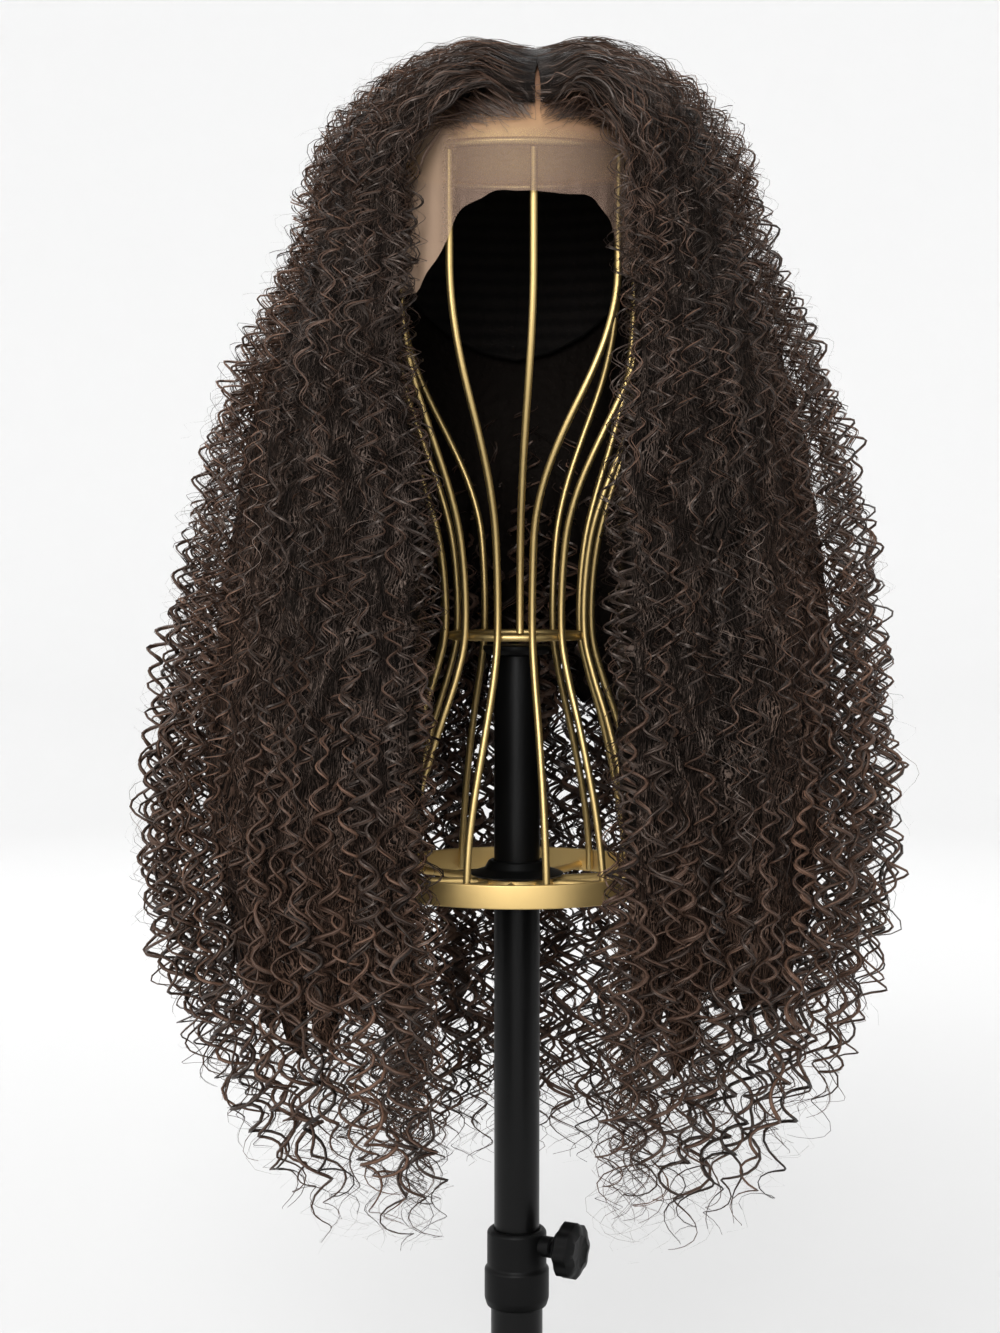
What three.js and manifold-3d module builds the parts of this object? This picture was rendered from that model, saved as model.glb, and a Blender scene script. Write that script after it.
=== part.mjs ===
// A long curly lace front wig with a middle parting, on a plain gold wire stand with a black pole.
// Millimetres, +Z up. The floor is z = 0, the pole is on the Z axis, and the wig faces -Y.
// Angles round the pole are in degrees from the front (-Y) towards the right (+X).
import * as THREE from "three";
import { mergeVertices } from "three/addons/utils/BufferGeometryUtils.js";
import Module from "manifold-3d";

const wasm = await Module();
wasm.setup();

// Fit between neighbouring pieces
const GAP = 0.3;

// Foot, tubes and clamp of the stand
const FOOT_RADIUS = 140;
const FOOT_THICK = 6;
const LOWER_TUBE_RADIUS = 16;
const LOWER_TUBE_WALL = 1.4;
const LOWER_TUBE_TOP = 178;
const POLE_RADIUS = 14;
const POLE_WALL = 1.4;
const POLE_FOOT = 110;
const POLE_TOP = 550;
const PLUG_RADIUS = 21;
const COLLAR_RADIUS = 20;
const COLLAR_FOOT = 147;
const COLLAR_TOP = 195;
const COLLAR_STEP = 172;
const KNOB_Z = 186;
const KNOB_TURN = 62;
const KNOB_RADIUS = 17.5;
const KNOB_THICK = 14;

// Wire form
const WIRE_RADIUS = 2.2;
const RIM_RADIUS = 2.5;
const WIRE_SIDES = 6;
const HOOP_Z = 846;
const HOOP_RADIUS = 84;
const DOME_RISE = 57;
const DOME_WALL = 1.5;
const NECK_RING_Z = 562;
const NECK_RING_RADIUS = 41.4;
const BAND_FOOT = 407;
const BAND_TOP = 421;
const BAND_RADIUS = 86;
const BAND_WALL = 3;
const SPOKE_COUNT = 9;
const SPOKE_PHASE = 31;
const SPOKE_RADIUS = 2.5;
const HUB_RADIUS = 24;
const HUB_THICK = 6;
const SOCKET_RADIUS = 29;

// Wire profile: distance of the wire's middle from the pole at each height
const WIRE_PROFILE = [
  { z: 842.6, r: 84 },
  { z: 795, r: 84 },
  { z: 750, r: 83 },
  { z: 715, r: 78.5 },
  { z: 682, r: 69 },
  { z: 650, r: 58 },
  { z: 622, r: 50 },
  { z: 592, r: 46 },
  { z: 562, r: 46 },
  { z: 538, r: 52 },
  { z: 508, r: 62 },
  { z: 468, r: 72 },
  { z: 430, r: 78.5 },
  { z: 409, r: 80 },
];

// Wires: the angle of each at the head, at the neck and at the band
const WIRES = [
  { head: -28, neck: -15, foot: -22 },
  { head: 44, neck: 11, foot: 12 },
  { head: 68, neck: 35, foot: 39 },
  { head: 92, neck: 62, foot: 63 },
  { head: 107, neck: 92, foot: 92 },
  { head: 119, neck: 121, foot: 120 },
  { head: 131, neck: 150, foot: 144 },
  { head: 240, neck: 206, foot: 206 },
  { head: 248, neck: 234, foot: 240 },
  { head: 256, neck: 260, foot: 259 },
  { head: 280, neck: 288, foot: 284 },
  { head: 304, neck: 317, foot: 303 },
];

// The wire at the middle of the face stops on the neck ring
const FACE_WIRE = { head: 6, neck: 2, inset: 4.6 };

// Cap and lace
const CAP_RADIUS = 88;
const CAP_RISE = 60;
const CAP_WALL = 1.5;
const LACE_WALL = 1;
const CAP_CENTRE_Z = 800;
const SEAM_TURN = 92;
const SEAM_SLACK = 0.3;

// Front edge of the lace: how far it turns up (+) or hangs down (-) at each angle to the side
const LACE_EDGE = [
  { side: 0, turn: 12.5 },
  { side: 8, turn: 15.5 },
  { side: 17, turn: 12.5 },
  { side: 25, turn: 6 },
  { side: 30, turn: -12 },
  { side: 35, turn: -30 },
  { side: 50, turn: -30 },
  { side: 72, turn: -18 },
  { side: 84, turn: -6 },
];

// Lower edge of the cap: how far it turns past the crown at each angle to the side
const NAPE_EDGE = [
  { side: 0, turn: 216 },
  { side: 20, turn: 214 },
  { side: 40, turn: 208 },
  { side: 60, turn: 198 },
  { side: 84, turn: 184 },
];

// Hair: reach of the outer form to each side of the pole at each height
const HAIR_SECTIONS = [
  { z: 815, left: 126, right: 141, front: 108, back: 128 },
  { z: 700, left: 180, right: 194, front: 124, back: 146 },
  { z: 585, left: 206, right: 218, front: 134, back: 158 },
  { z: 470, left: 230, right: 228, front: 140, back: 164 },
  { z: 390, left: 222, right: 224, front: 139, back: 162 },
  { z: 300, left: 196, right: 194, front: 128, back: 148 },
  { z: 205, left: 140, right: 150, front: 106, back: 120 },
];
const HAIR_SQUARE = 2.3;
const SHOULDER_Z = 815;
const PART_X = 11;
const PART_HALF = 1.6;
const PART_FRONT_Y = -84.5;
const PART_BACK_Y = 18;
const WHORL_RADIUS = 11;
const CROWN_LIFT = 18;
const FOREHEAD_LIFT = 17;
const OPEN_LEFT = 53;
const OPEN_RIGHT = 57;
const SIDE_SPLIT = 118;
const SPLIT_SLACK = 0.25;
const HOLLOW_RADIUS = 93;
const HAIR_CLEAR = 1.8;
const BACKING_SHARE = 0.86;
const BACKING_FOOT = 275;
const TIP_FOOT = 200;
const TIP_SIDE_RISE = 125;
const TIP_SIDE_POWER = 20;
const TIP_UNEVEN = 14;
const BACKING_ROWS = 8;
const BACKING_COLUMNS = 6;
const LOCK_SIDES = 4;
const LOCK_STEPS = 13;
const LOCK_WAVES = 4;
const LOCK_SWING = 8;
const CROWN_SHARE = 0.18;
const SIDE_LOCKS = 6;
const BACK_LOCKS = 5;

// Lock thickness along its length, as a radius at each share of the way from root to tip
const LOCK_PROFILE = [
  { at: 0, r: 9 },
  { at: 0.2, r: 18 },
  { at: 0.5, r: 25 },
  { at: 0.8, r: 22 },
  { at: 0.93, r: 13 },
  { at: 1, r: 4 },
];

const rad = THREE.MathUtils.degToRad;
const lerp = THREE.MathUtils.lerp;
const smooth = THREE.MathUtils.smoothstep;

const gold = { color: 0xb0904a, roughness: 0.42, metalness: 0.85 };
const black = { color: 0x141416, roughness: 0.38, metalness: 0.1 };
const hairLook = { color: 0x1d1613, roughness: 0.55, metalness: 0 };
const laceLook = { color: 0xc8a382, roughness: 0.8, metalness: 0 };
const capLook = { color: 0x161312, roughness: 0.85, metalness: 0 };

const part = new THREE.Group();
part.name = "lace_front_wig_on_stand";

function put(name, geometry, look) {
  const mesh = new THREE.Mesh(geometry, new THREE.MeshStandardMaterial(look));
  mesh.name = name;
  part.add(mesh);
}

function closedMesh(geometry) {
  const bare = geometry.clone();
  bare.deleteAttribute("normal");
  bare.deleteAttribute("uv");
  return mergeVertices(bare, 1e-4);
}

function toSolid(geometry) {
  const bare = closedMesh(geometry);
  const mesh = new wasm.Mesh({
    numProp: 3,
    vertProperties: Float32Array.from(bare.attributes.position.array),
    triVerts: Uint32Array.from(bare.index.array),
  });
  return new wasm.Manifold(mesh);
}

function toGeometry(solid) {
  const mesh = solid.getMesh();
  const geometry = new THREE.BufferGeometry();
  geometry.setAttribute("position", new THREE.BufferAttribute(mesh.vertProperties, 3));
  geometry.setIndex(new THREE.BufferAttribute(mesh.triVerts, 1));
  geometry.computeVertexNormals();
  return geometry;
}

// A closed geometry from points and triangles, turned so that its faces look outwards
function facingOut(points, faces) {
  let volume = 0;
  for (const [a, b, c] of faces) {
    volume += points[a].dot(points[b].clone().cross(points[c]));
  }
  const index = faces.flatMap(([a, b, c]) => (volume > 0 ? [a, b, c] : [a, c, b]));
  const geometry = new THREE.BufferGeometry().setFromPoints(points);
  geometry.setIndex(index);
  geometry.computeVertexNormals();
  return geometry;
}

// A wall between two grids of points, outside[row][column] and inside[row][column]
function wall(outside, inside) {
  const rows = outside.length;
  const columns = outside[0].length;
  const points = [...outside.flat(), ...inside.flat()];
  const out = (r, c) => r * columns + c;
  const inn = (r, c) => rows * columns + r * columns + c;
  const faces = [];
  const quad = (a, b, c, d) => faces.push([a, b, c], [a, c, d]);
  for (let r = 0; r < rows - 1; r++) {
    for (let c = 0; c < columns - 1; c++) {
      quad(out(r, c), out(r, c + 1), out(r + 1, c + 1), out(r + 1, c));
      quad(inn(r, c), inn(r + 1, c), inn(r + 1, c + 1), inn(r, c + 1));
    }
    quad(out(r, 0), out(r + 1, 0), inn(r + 1, 0), inn(r, 0));
    const e = columns - 1;
    quad(out(r, e), inn(r, e), inn(r + 1, e), out(r + 1, e));
  }
  for (let c = 0; c < columns - 1; c++) {
    const e = rows - 1;
    quad(out(0, c), inn(0, c), inn(0, c + 1), out(0, c + 1));
    quad(out(e, c), out(e, c + 1), inn(e, c + 1), inn(e, c));
  }
  return facingOut(points, faces);
}

// A tapered tube through rings of points, closed at both ends
function tube(rings) {
  const sides = rings[0].length;
  const points = rings.flat();
  const faces = [];
  for (let k = 0; k < rings.length - 1; k++) {
    for (let s = 0; s < sides; s++) {
      const a = k * sides + s;
      const b = k * sides + ((s + 1) % sides);
      faces.push([a, b, b + sides], [a, b + sides, a + sides]);
    }
  }
  const last = (rings.length - 1) * sides;
  for (let s = 1; s < sides - 1; s++) {
    faces.push([0, s + 1, s], [last, last + s, last + s + 1]);
  }
  return facingOut(points, faces);
}

// A turned solid from a closed profile of [radius, height] pairs
function turned(profile, segments) {
  const points = profile.map(([r, z]) => new THREE.Vector2(r, z));
  const geometry = new THREE.LatheGeometry(points, segments);
  geometry.rotateX(Math.PI / 2);
  return closedMesh(geometry);
}

function hollowTube(outer, inner, foot, top, segments) {
  return turned([[inner, foot], [outer, foot], [outer, top], [inner, top], [inner, foot]], segments);
}

function roundRing(radius, thick, z, sides, segments) {
  const profile = [];
  for (let k = 0; k <= sides; k++) {
    const a = (2 * Math.PI * (k % sides)) / sides;
    profile.push([radius + thick * Math.cos(a), z + thick * Math.sin(a)]);
  }
  return turned(profile, segments);
}

// Value of a table's column at a place, with straight runs between the rows
function lookUp(table, key, column, at) {
  const rising = table[table.length - 1][key] > table[0][key];
  const rows = rising ? table : [...table].reverse();
  if (at <= rows[0][key]) {
    return rows[0][column];
  }
  for (let k = 1; k < rows.length; k++) {
    if (at <= rows[k][key]) {
      const share = (at - rows[k - 1][key]) / (rows[k][key] - rows[k - 1][key]);
      return lerp(rows[k - 1][column], rows[k][column], share);
    }
  }
  return rows[rows.length - 1][column];
}

// Foot, tubes and clamp
put("base_plate", turned([
  [0, 0],
  [FOOT_RADIUS, 0],
  [FOOT_RADIUS, FOOT_THICK - 3],
  [FOOT_RADIUS - 3, FOOT_THICK],
  [0, FOOT_THICK],
], 36), black);

put("lower_tube", hollowTube(
  LOWER_TUBE_RADIUS, LOWER_TUBE_RADIUS - LOWER_TUBE_WALL, FOOT_THICK, LOWER_TUBE_TOP, 20,
), black);

put("pole", hollowTube(POLE_RADIUS, POLE_RADIUS - POLE_WALL, POLE_FOOT, POLE_TOP, 20), black);

const plugRadius = POLE_RADIUS - POLE_WALL - GAP;
put("pole_plug", turned([
  [0, POLE_TOP - 20],
  [plugRadius, POLE_TOP - 20],
  [plugRadius, POLE_TOP + GAP],
  [PLUG_RADIUS - 3, POLE_TOP + GAP],
  [PLUG_RADIUS, POLE_TOP + 4],
  [PLUG_RADIUS - 1, POLE_TOP + 6],
  [0, POLE_TOP + 6],
], 20), black);

const knobAxis = new THREE.Vector3(Math.sin(rad(KNOB_TURN)), -Math.cos(rad(KNOB_TURN)), 0);
const alongKnob = new THREE.Quaternion().setFromUnitVectors(new THREE.Vector3(0, 1, 0), knobAxis);

// A round bar along the knob's axis, from one distance from the pole to another
function knobBar(radius, from, to, segments) {
  const bar = new THREE.CylinderGeometry(radius, radius, to - from, segments);
  bar.translate(0, (from + to) / 2, 0);
  bar.applyQuaternion(alongKnob);
  bar.translate(0, 0, KNOB_Z);
  return bar;
}

const tubeBore = LOWER_TUBE_RADIUS + GAP;
const poleBore = POLE_RADIUS + GAP;
const collarBody = turned([
  [tubeBore, COLLAR_FOOT],
  [COLLAR_RADIUS - 1.5, COLLAR_FOOT],
  [COLLAR_RADIUS, COLLAR_FOOT + 4],
  [COLLAR_RADIUS, COLLAR_STEP - 2],
  [COLLAR_RADIUS - 1.5, COLLAR_STEP],
  [COLLAR_RADIUS - 1.5, COLLAR_TOP - 2],
  [COLLAR_RADIUS - 3, COLLAR_TOP],
  [poleBore, COLLAR_TOP],
  [poleBore, LOWER_TUBE_TOP + GAP],
  [tubeBore, LOWER_TUBE_TOP + GAP],
  [tubeBore, COLLAR_FOOT],
], 18);
const boss = knobBar(6.5, 17, 25, 12);
put("collar", toGeometry(toSolid(collarBody).add(toSolid(boss))), black);

const knobHead = knobBar(KNOB_RADIUS, 30, 30 + KNOB_THICK, 8);
const knobStem = knobBar(4, 25 + GAP, 32, 10);
put("clamp_knob", toGeometry(toSolid(knobHead).add(toSolid(knobStem))), black);

// Band, spokes and hub at the foot of the wires, and the flanged socket that grips the hub
const hubFoot = BAND_FOOT + 1 + GAP;
const hubTop = hubFoot + HUB_THICK;
const spokeZ = hubFoot + SPOKE_RADIUS;
const socketNeck = poleBore + 3;
put("pole_socket", turned([
  [poleBore, hubFoot - 12],
  [HUB_RADIUS - 4, hubFoot - 12],
  [HUB_RADIUS - 1, hubFoot - GAP],
  [socketNeck, hubFoot - GAP],
  [socketNeck, hubTop + GAP],
  [SOCKET_RADIUS - 2, hubTop + GAP],
  [SOCKET_RADIUS, hubTop + 2],
  [HUB_RADIUS - 4, hubTop + 5],
  [socketNeck, hubTop + 10],
  [poleBore, hubTop + 10],
  [poleBore, hubFoot - 12],
], 20), black);
let baseRing = toSolid(hollowTube(BAND_RADIUS, BAND_RADIUS - BAND_WALL, BAND_FOOT, BAND_TOP, 32));
baseRing = baseRing.add(toSolid(hollowTube(HUB_RADIUS, socketNeck + GAP, hubFoot, hubTop, 20)));
for (let k = 0; k < SPOKE_COUNT; k++) {
  const turn = SPOKE_PHASE + (360 * k) / SPOKE_COUNT;
  const from = HUB_RADIUS - 3;
  const to = BAND_RADIUS - BAND_WALL / 2;
  const spoke = new THREE.CylinderGeometry(SPOKE_RADIUS, SPOKE_RADIUS, to - from, 6);
  spoke.translate(0, -(from + to) / 2, 0);
  spoke.rotateZ(rad(turn));
  spoke.translate(0, 0, spokeZ);
  baseRing = baseRing.add(toSolid(spoke));
}
put("base_ring", toGeometry(baseRing), gold);

put("neck_ring", roundRing(NECK_RING_RADIUS, WIRE_RADIUS, NECK_RING_Z, 6, 24), gold);

// Low dome with a rolled rim
const domeProfile = [];
function domeArc(reach, rise, k) {
  return [k ? reach * Math.sin(rad(18 * k)) : 0, HOOP_Z + rise * Math.cos(rad(18 * k))];
}
for (let k = 0; k <= 5; k++) {
  domeProfile.push(domeArc(HOOP_RADIUS - DOME_WALL, DOME_RISE - DOME_WALL, k));
}
for (let k = 5; k >= 0; k--) {
  domeProfile.push(domeArc(HOOP_RADIUS, DOME_RISE, k));
}
const domeShell = toSolid(turned(domeProfile, 20));
const domeRim = toSolid(roundRing(HOOP_RADIUS, RIM_RADIUS, HOOP_Z, 5, 20));
put("top_dome", toGeometry(domeShell.add(domeRim)), gold);

// Wires: a round bar through places that run up the outside of the form
function bar(places, radius) {
  const rings = places.map((place, k) => {
    const before = places[Math.max(0, k - 1)];
    const after = places[Math.min(places.length - 1, k + 1)];
    const run = after.clone().sub(before).normalize();
    const across = run.clone().cross(new THREE.Vector3(place.x, place.y, 0)).normalize();
    const up = across.clone().cross(run);
    return Array.from({ length: WIRE_SIDES }, (_, s) => {
      const a = (2 * Math.PI * s) / WIRE_SIDES;
      return place.clone()
        .addScaledVector(across, radius * Math.cos(a))
        .addScaledVector(up, radius * Math.sin(a));
    });
  });
  return tube(rings);
}

function atTurn(turn, r, z) {
  return new THREE.Vector3(r * Math.sin(rad(turn)), -r * Math.cos(rad(turn)), z);
}

function headTurn({ head, neck }, z) {
  return lerp(neck, head, smooth(z, 620, 780));
}

function wireTurn(wire, z) {
  return z > NECK_RING_Z ? headTurn(wire, z) : lerp(wire.neck, wire.foot, smooth(NECK_RING_Z - z, 0, 130));
}

WIRES.forEach((wire, k) => {
  const places = WIRE_PROFILE.map(({ z, r }) => atTurn(wireTurn(wire, z), r, z));
  put(`wire_${String(k + 1).padStart(2, "0")}`, bar(places, WIRE_RADIUS), gold);
});

const ringTop = NECK_RING_Z + WIRE_RADIUS;
const facePlaces = WIRE_PROFILE.filter(({ z }) => z > ringTop).map(({ z, r }) =>
  atTurn(headTurn(FACE_WIRE, z), r - FACE_WIRE.inset * smooth(650 - z, 0, 55), z));
facePlaces.push(atTurn(FACE_WIRE.neck, NECK_RING_RADIUS, ringTop + GAP));
put("wire_13", bar(facePlaces, WIRE_RADIUS), gold);

// Cap and lace: a point of the head's skin, turned up and over from the front and then to the side
function skinPoint(turn, side, grow) {
  const u = rad(turn);
  const w = rad(side);
  const along = new THREE.Vector3(Math.sin(w), -Math.cos(w) * Math.cos(u), Math.cos(w) * Math.sin(u));
  const reach = CAP_RADIUS + grow;
  const rise = CAP_RISE + grow;
  const hoop = HOOP_Z - CAP_CENTRE_Z;
  const flat = Math.hypot(along.x, along.y);
  let far = reach / flat;
  if (far * along.z > hoop) {
    const a = (flat / reach) ** 2 + (along.z / rise) ** 2;
    const b = (-2 * hoop * along.z) / rise ** 2;
    const c = (hoop / rise) ** 2 - 1;
    far = (-b + Math.sqrt(b * b - 4 * a * c)) / (2 * a);
  }
  return along.multiplyScalar(far).add(new THREE.Vector3(0, 0, CAP_CENTRE_Z));
}

// How far the skin turns up from the front to reach the height of the dome's rim
function rimTurn(side) {
  const hoop = HOOP_Z - CAP_CENTRE_Z;
  const x = Math.hypot(CAP_RADIUS, hoop) * Math.sin(rad(Math.min(Math.abs(side), 52)));
  return (Math.atan2(hoop, Math.sqrt(CAP_RADIUS ** 2 - x * x)) * 180) / Math.PI;
}

// A wall of the skin from an edge to the rim's height and on to the crown seam
function skinWall(edge, rim, seam, thick, sides) {
  const below = [0, 0.34, 0.67];
  const above = [0, 0.1, 0.24, 0.44, 0.7, 1];
  const grid = (grow) => [
    ...below.map((share) => sides.map((w) => skinPoint(lerp(edge(w), rim(w), share), w, grow))),
    ...above.map((share) => sides.map((w) => skinPoint(lerp(rim(w), seam, share), w, grow))),
  ];
  return wall(grid(thick), grid(0));
}

const laceSides = [-84, -72, -60, -47, -35, -30, -25, -17, -8, 0, 8, 17, 25, 30, 35, 47, 60, 72, 84];
const laceEdge = (side) => lookUp(LACE_EDGE, "side", "turn", Math.abs(side));
put("lace_front", skinWall(laceEdge, rimTurn, SEAM_TURN - SEAM_SLACK, LACE_WALL, laceSides), laceLook);

const capSides = [-84, -73, -61, -49, -37, -25, -12, 0, 12, 25, 37, 49, 61, 73, 84];
const napeEdge = (side) => lookUp(NAPE_EDGE, "side", "turn", Math.abs(side));
put("cap", skinWall(napeEdge, (w) => 180 - rimTurn(w), SEAM_TURN, CAP_WALL, capSides), capLook);

// Hair: reach of the outer form at an angle and height
function hairReach(turn, z) {
  const s = Math.sin(rad(turn));
  const c = Math.cos(rad(turn));
  const across = lookUp(HAIR_SECTIONS, "z", s < 0 ? "left" : "right", z);
  const deep = lookUp(HAIR_SECTIONS, "z", c > 0 ? "front" : "back", z);
  const sum = Math.abs(s / across) ** HAIR_SQUARE + Math.abs(c / deep) ** HAIR_SQUARE;
  return sum ** (-1 / HAIR_SQUARE);
}

// Height of the scalp over a place on the crown
function scalpZ(x, y) {
  const share = Math.min(1, (x * x + y * y) / CAP_RADIUS ** 2);
  return HOOP_Z + CAP_RISE * Math.sqrt(1 - share);
}

// Where hair that falls at an angle leaves the parting or the whorl behind it
function hairRoot(turn) {
  const t = Math.abs(turn);
  if (t > SIDE_SPLIT) {
    const x = PART_X + WHORL_RADIUS * Math.sin(rad(turn));
    return new THREE.Vector3(x, PART_BACK_Y + 6 - WHORL_RADIUS * Math.cos(rad(turn)), 0);
  }
  const share = smooth(t, 22, SIDE_SPLIT);
  return new THREE.Vector3(PART_X + Math.sign(turn) * PART_HALF, lerp(PART_FRONT_Y, PART_BACK_Y, share), 0);
}

// A point in the hair. along runs 0 to 1 over the crown to the shoulder of the form and 1 to 2 down to
// the foot height, and deep runs from 0 at the scalp to 1 at the outer form
function hairPoint(turn, along, deep, foot) {
  const dir = new THREE.Vector3(Math.sin(rad(turn)), -Math.cos(rad(turn)), 0);
  if (along >= 1) {
    const z = lerp(SHOULDER_Z, foot, along - 1);
    return dir.multiplyScalar(lerp(CAP_RADIUS, hairReach(turn, z), deep)).setZ(z);
  }
  const a = (along * Math.PI) / 2;
  const root = hairRoot(turn);
  const shoulder = dir.multiplyScalar(lerp(CAP_RADIUS, hairReach(turn, SHOULDER_Z), deep));
  const flat = root.clone().lerp(shoulder, Math.sin(a));
  const front = smooth(-root.y, 20, 76);
  const lift = deep * lerp(CROWN_LIFT, FOREHEAD_LIFT, front) * lerp(0.62, 1, smooth(along, 0, 0.22));
  const top = scalpZ(root.x, root.y) + lift;
  return flat.setZ(lerp(SHOULDER_Z, top, Math.cos(a)));
}

// Angle of a front column at a depth, so that the edge of the curtain stays as far from the middle
function openTurn(sign, deep) {
  const reach = lerp(CAP_RADIUS, hairReach(sign * 26, 600), deep);
  return (sign * Math.asin((sign < 0 ? OPEN_LEFT : OPEN_RIGHT) / reach) * 180) / Math.PI;
}

// The backing of one side or of the back: a thick curtain of hair between two angles
function backing(fromTurn, toTurn) {
  const grid = (deep) =>
    Array.from({ length: BACKING_ROWS + 1 }, (_, r) =>
      Array.from({ length: BACKING_COLUMNS + 1 }, (__, c) => {
        const turn = lerp(fromTurn(deep), toTurn, c / BACKING_COLUMNS);
        const rise = 90 * Math.sin(rad(turn)) ** 2;
        const crownRows = 4;
        const over = r <= crownRows ? r / crownRows : 1 + (r - crownRows) / (BACKING_ROWS - crownRows);
        return hairPoint(turn, over, deep, BACKING_FOOT + rise);
      }));
  return wall(grid(BACKING_SHARE), grid(0));
}

// One wavy lock from the crown to its tip
function lock(turn, phase) {
  const rise = TIP_SIDE_RISE * Math.sin(rad(turn)) ** TIP_SIDE_POWER;
  const foot = TIP_FOOT + rise + TIP_UNEVEN * Math.sin(2.1 * phase);
  const steps = Array.from({ length: LOCK_STEPS + 1 }, (_, k) => k / LOCK_STEPS);
  const middle = steps.map((share) => {
    const crown = share / CROWN_SHARE;
    const over = crown < 1 ? lerp(0.22, 1, crown) : 1 + (share - CROWN_SHARE) / (1 - CROWN_SHARE);
    const r = lookUp(LOCK_PROFILE, "at", "r", share);
    const place = hairPoint(turn, over, 1, foot);
    const out = new THREE.Vector3(Math.sin(rad(turn)), -Math.cos(rad(turn)), 0);
    const aside = new THREE.Vector3(-out.y, out.x, 0);
    const wave = 2 * Math.PI * LOCK_WAVES * share + phase;
    const swing = LOCK_SWING * smooth(share, 0.05, 0.35);
    const ahead = hairPoint(turn, over + 0.02, 1, foot).sub(place).normalize();
    const level = ahead.cross(aside).normalize();
    place.addScaledVector(level, -r - swing * (0.5 + 0.5 * Math.sin(wave)));
    place.addScaledVector(aside, swing * Math.cos(wave));
    return { place, aside, r };
  });
  const rings = middle.map(({ place, aside, r }, k) => {
    const before = middle[Math.max(0, k - 1)].place;
    const after = middle[Math.min(LOCK_STEPS, k + 1)].place;
    const run = after.clone().sub(before).normalize();
    const across = aside.clone().addScaledVector(run, -aside.dot(run)).normalize();
    const up = run.clone().cross(across);
    return Array.from({ length: LOCK_SIDES }, (_, s) => {
      const a = (2 * Math.PI * s) / LOCK_SIDES + Math.PI / 2;
      return place.clone()
        .addScaledVector(across, r * Math.cos(a))
        .addScaledVector(up, r * Math.sin(a));
    });
  });
  return tube(rings);
}

// The space that the head and the wire form keep clear of hair
const clear = [
  [0, 120],
  [HOLLOW_RADIUS, 120],
  [HOLLOW_RADIUS, 745],
  [CAP_RADIUS + CAP_WALL + HAIR_CLEAR, 790],
];
for (let k = 6; k >= 0; k--) {
  const grow = CAP_WALL + HAIR_CLEAR;
  const a = rad(15 * k);
  clear.push([k ? (CAP_RADIUS + grow) * Math.sin(a) : 0, HOOP_Z + (CAP_RISE + grow) * Math.cos(a)]);
}
const clearSpace = toSolid(turned(clear, 24));

function hair(fromTurn, toTurn, lockTurns) {
  let solid = toSolid(backing(fromTurn, toTurn));
  lockTurns.forEach((turn, k) => {
    solid = solid.add(toSolid(lock(turn, 1.7 * k + turn)));
  });
  return toGeometry(solid.subtract(clearSpace));
}

const spread = (from, to, count) =>
  Array.from({ length: count }, (_, k) => lerp(from, to, k / (count - 1)));
const sideEnd = SIDE_SPLIT - SPLIT_SLACK;
const backEnd = SIDE_SPLIT + SPLIT_SLACK;
put("hair_left", hair((d) => openTurn(-1, d), -sideEnd, spread(-36, -107, SIDE_LOCKS)), hairLook);
put("hair_right", hair((d) => openTurn(1, d), sideEnd, spread(36, 107, SIDE_LOCKS)), hairLook);
put("hair_back", hair(() => backEnd, 360 - backEnd, spread(130, 230, BACK_LOCKS)), hairLook);

export default part;
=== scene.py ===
import math

import bpy
import numpy as np
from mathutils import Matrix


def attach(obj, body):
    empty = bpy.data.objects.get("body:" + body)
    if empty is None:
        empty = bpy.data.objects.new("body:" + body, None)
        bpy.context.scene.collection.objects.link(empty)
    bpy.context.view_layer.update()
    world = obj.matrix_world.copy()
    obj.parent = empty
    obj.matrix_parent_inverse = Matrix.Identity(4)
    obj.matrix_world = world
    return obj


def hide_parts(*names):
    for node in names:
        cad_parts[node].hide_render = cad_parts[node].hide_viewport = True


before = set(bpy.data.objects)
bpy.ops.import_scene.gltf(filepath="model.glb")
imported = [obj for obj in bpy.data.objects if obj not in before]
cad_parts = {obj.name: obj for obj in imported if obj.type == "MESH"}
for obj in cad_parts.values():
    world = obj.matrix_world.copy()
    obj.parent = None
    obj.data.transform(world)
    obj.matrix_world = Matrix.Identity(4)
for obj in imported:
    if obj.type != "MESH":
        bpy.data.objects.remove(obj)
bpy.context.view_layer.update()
rng = np.random.default_rng(28)
MM = 0.001

# Sizes of the stand, in millimetres, as in the part
FOOT_RADIUS, FOOT_THICK = 140, 6
LOWER_TUBE_RADIUS, LOWER_TUBE_TOP = 16, 178
POLE_RADIUS, POLE_FOOT, POLE_TOP, PLUG_RADIUS = 14, 110, 550, 21
COLLAR_RADIUS, COLLAR_FOOT, COLLAR_STEP, COLLAR_TOP = 20, 147, 172, 195
KNOB_Z, KNOB_TURN, KNOB_RADIUS, KNOB_LOBES = 186, 62, 17.5, 8
WIRE_RADIUS, RIM_RADIUS = 2.2, 2.5
HOOP_Z, HOOP_RADIUS, DOME_RISE, DOME_WALL = 846, 84, 57, 1.5
NECK_RING_Z, NECK_RING_RADIUS = 562, 41.4
BAND_FOOT, BAND_TOP, BAND_RADIUS, BAND_WALL = 407, 421, 86, 3
SPOKE_COUNT, SPOKE_PHASE, SPOKE_RADIUS = 9, 31, 2.5
HUB_RADIUS, HUB_THICK, SOCKET_RADIUS, GAP = 24, 6, 29, 0.3
LOWER_TUBE_BORE, POLE_BORE, PLUG_SHANK, PLUG_DEPTH = 14.6, 12.6, 12.3, 20
SOCKET_BORE, SOCKET_SEAT, HUB_BORE, COLLAR_TUBE_BORE, COLLAR_POLE_BORE = 14.3, 17.3, 17.6, 16.3, 14.3
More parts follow.
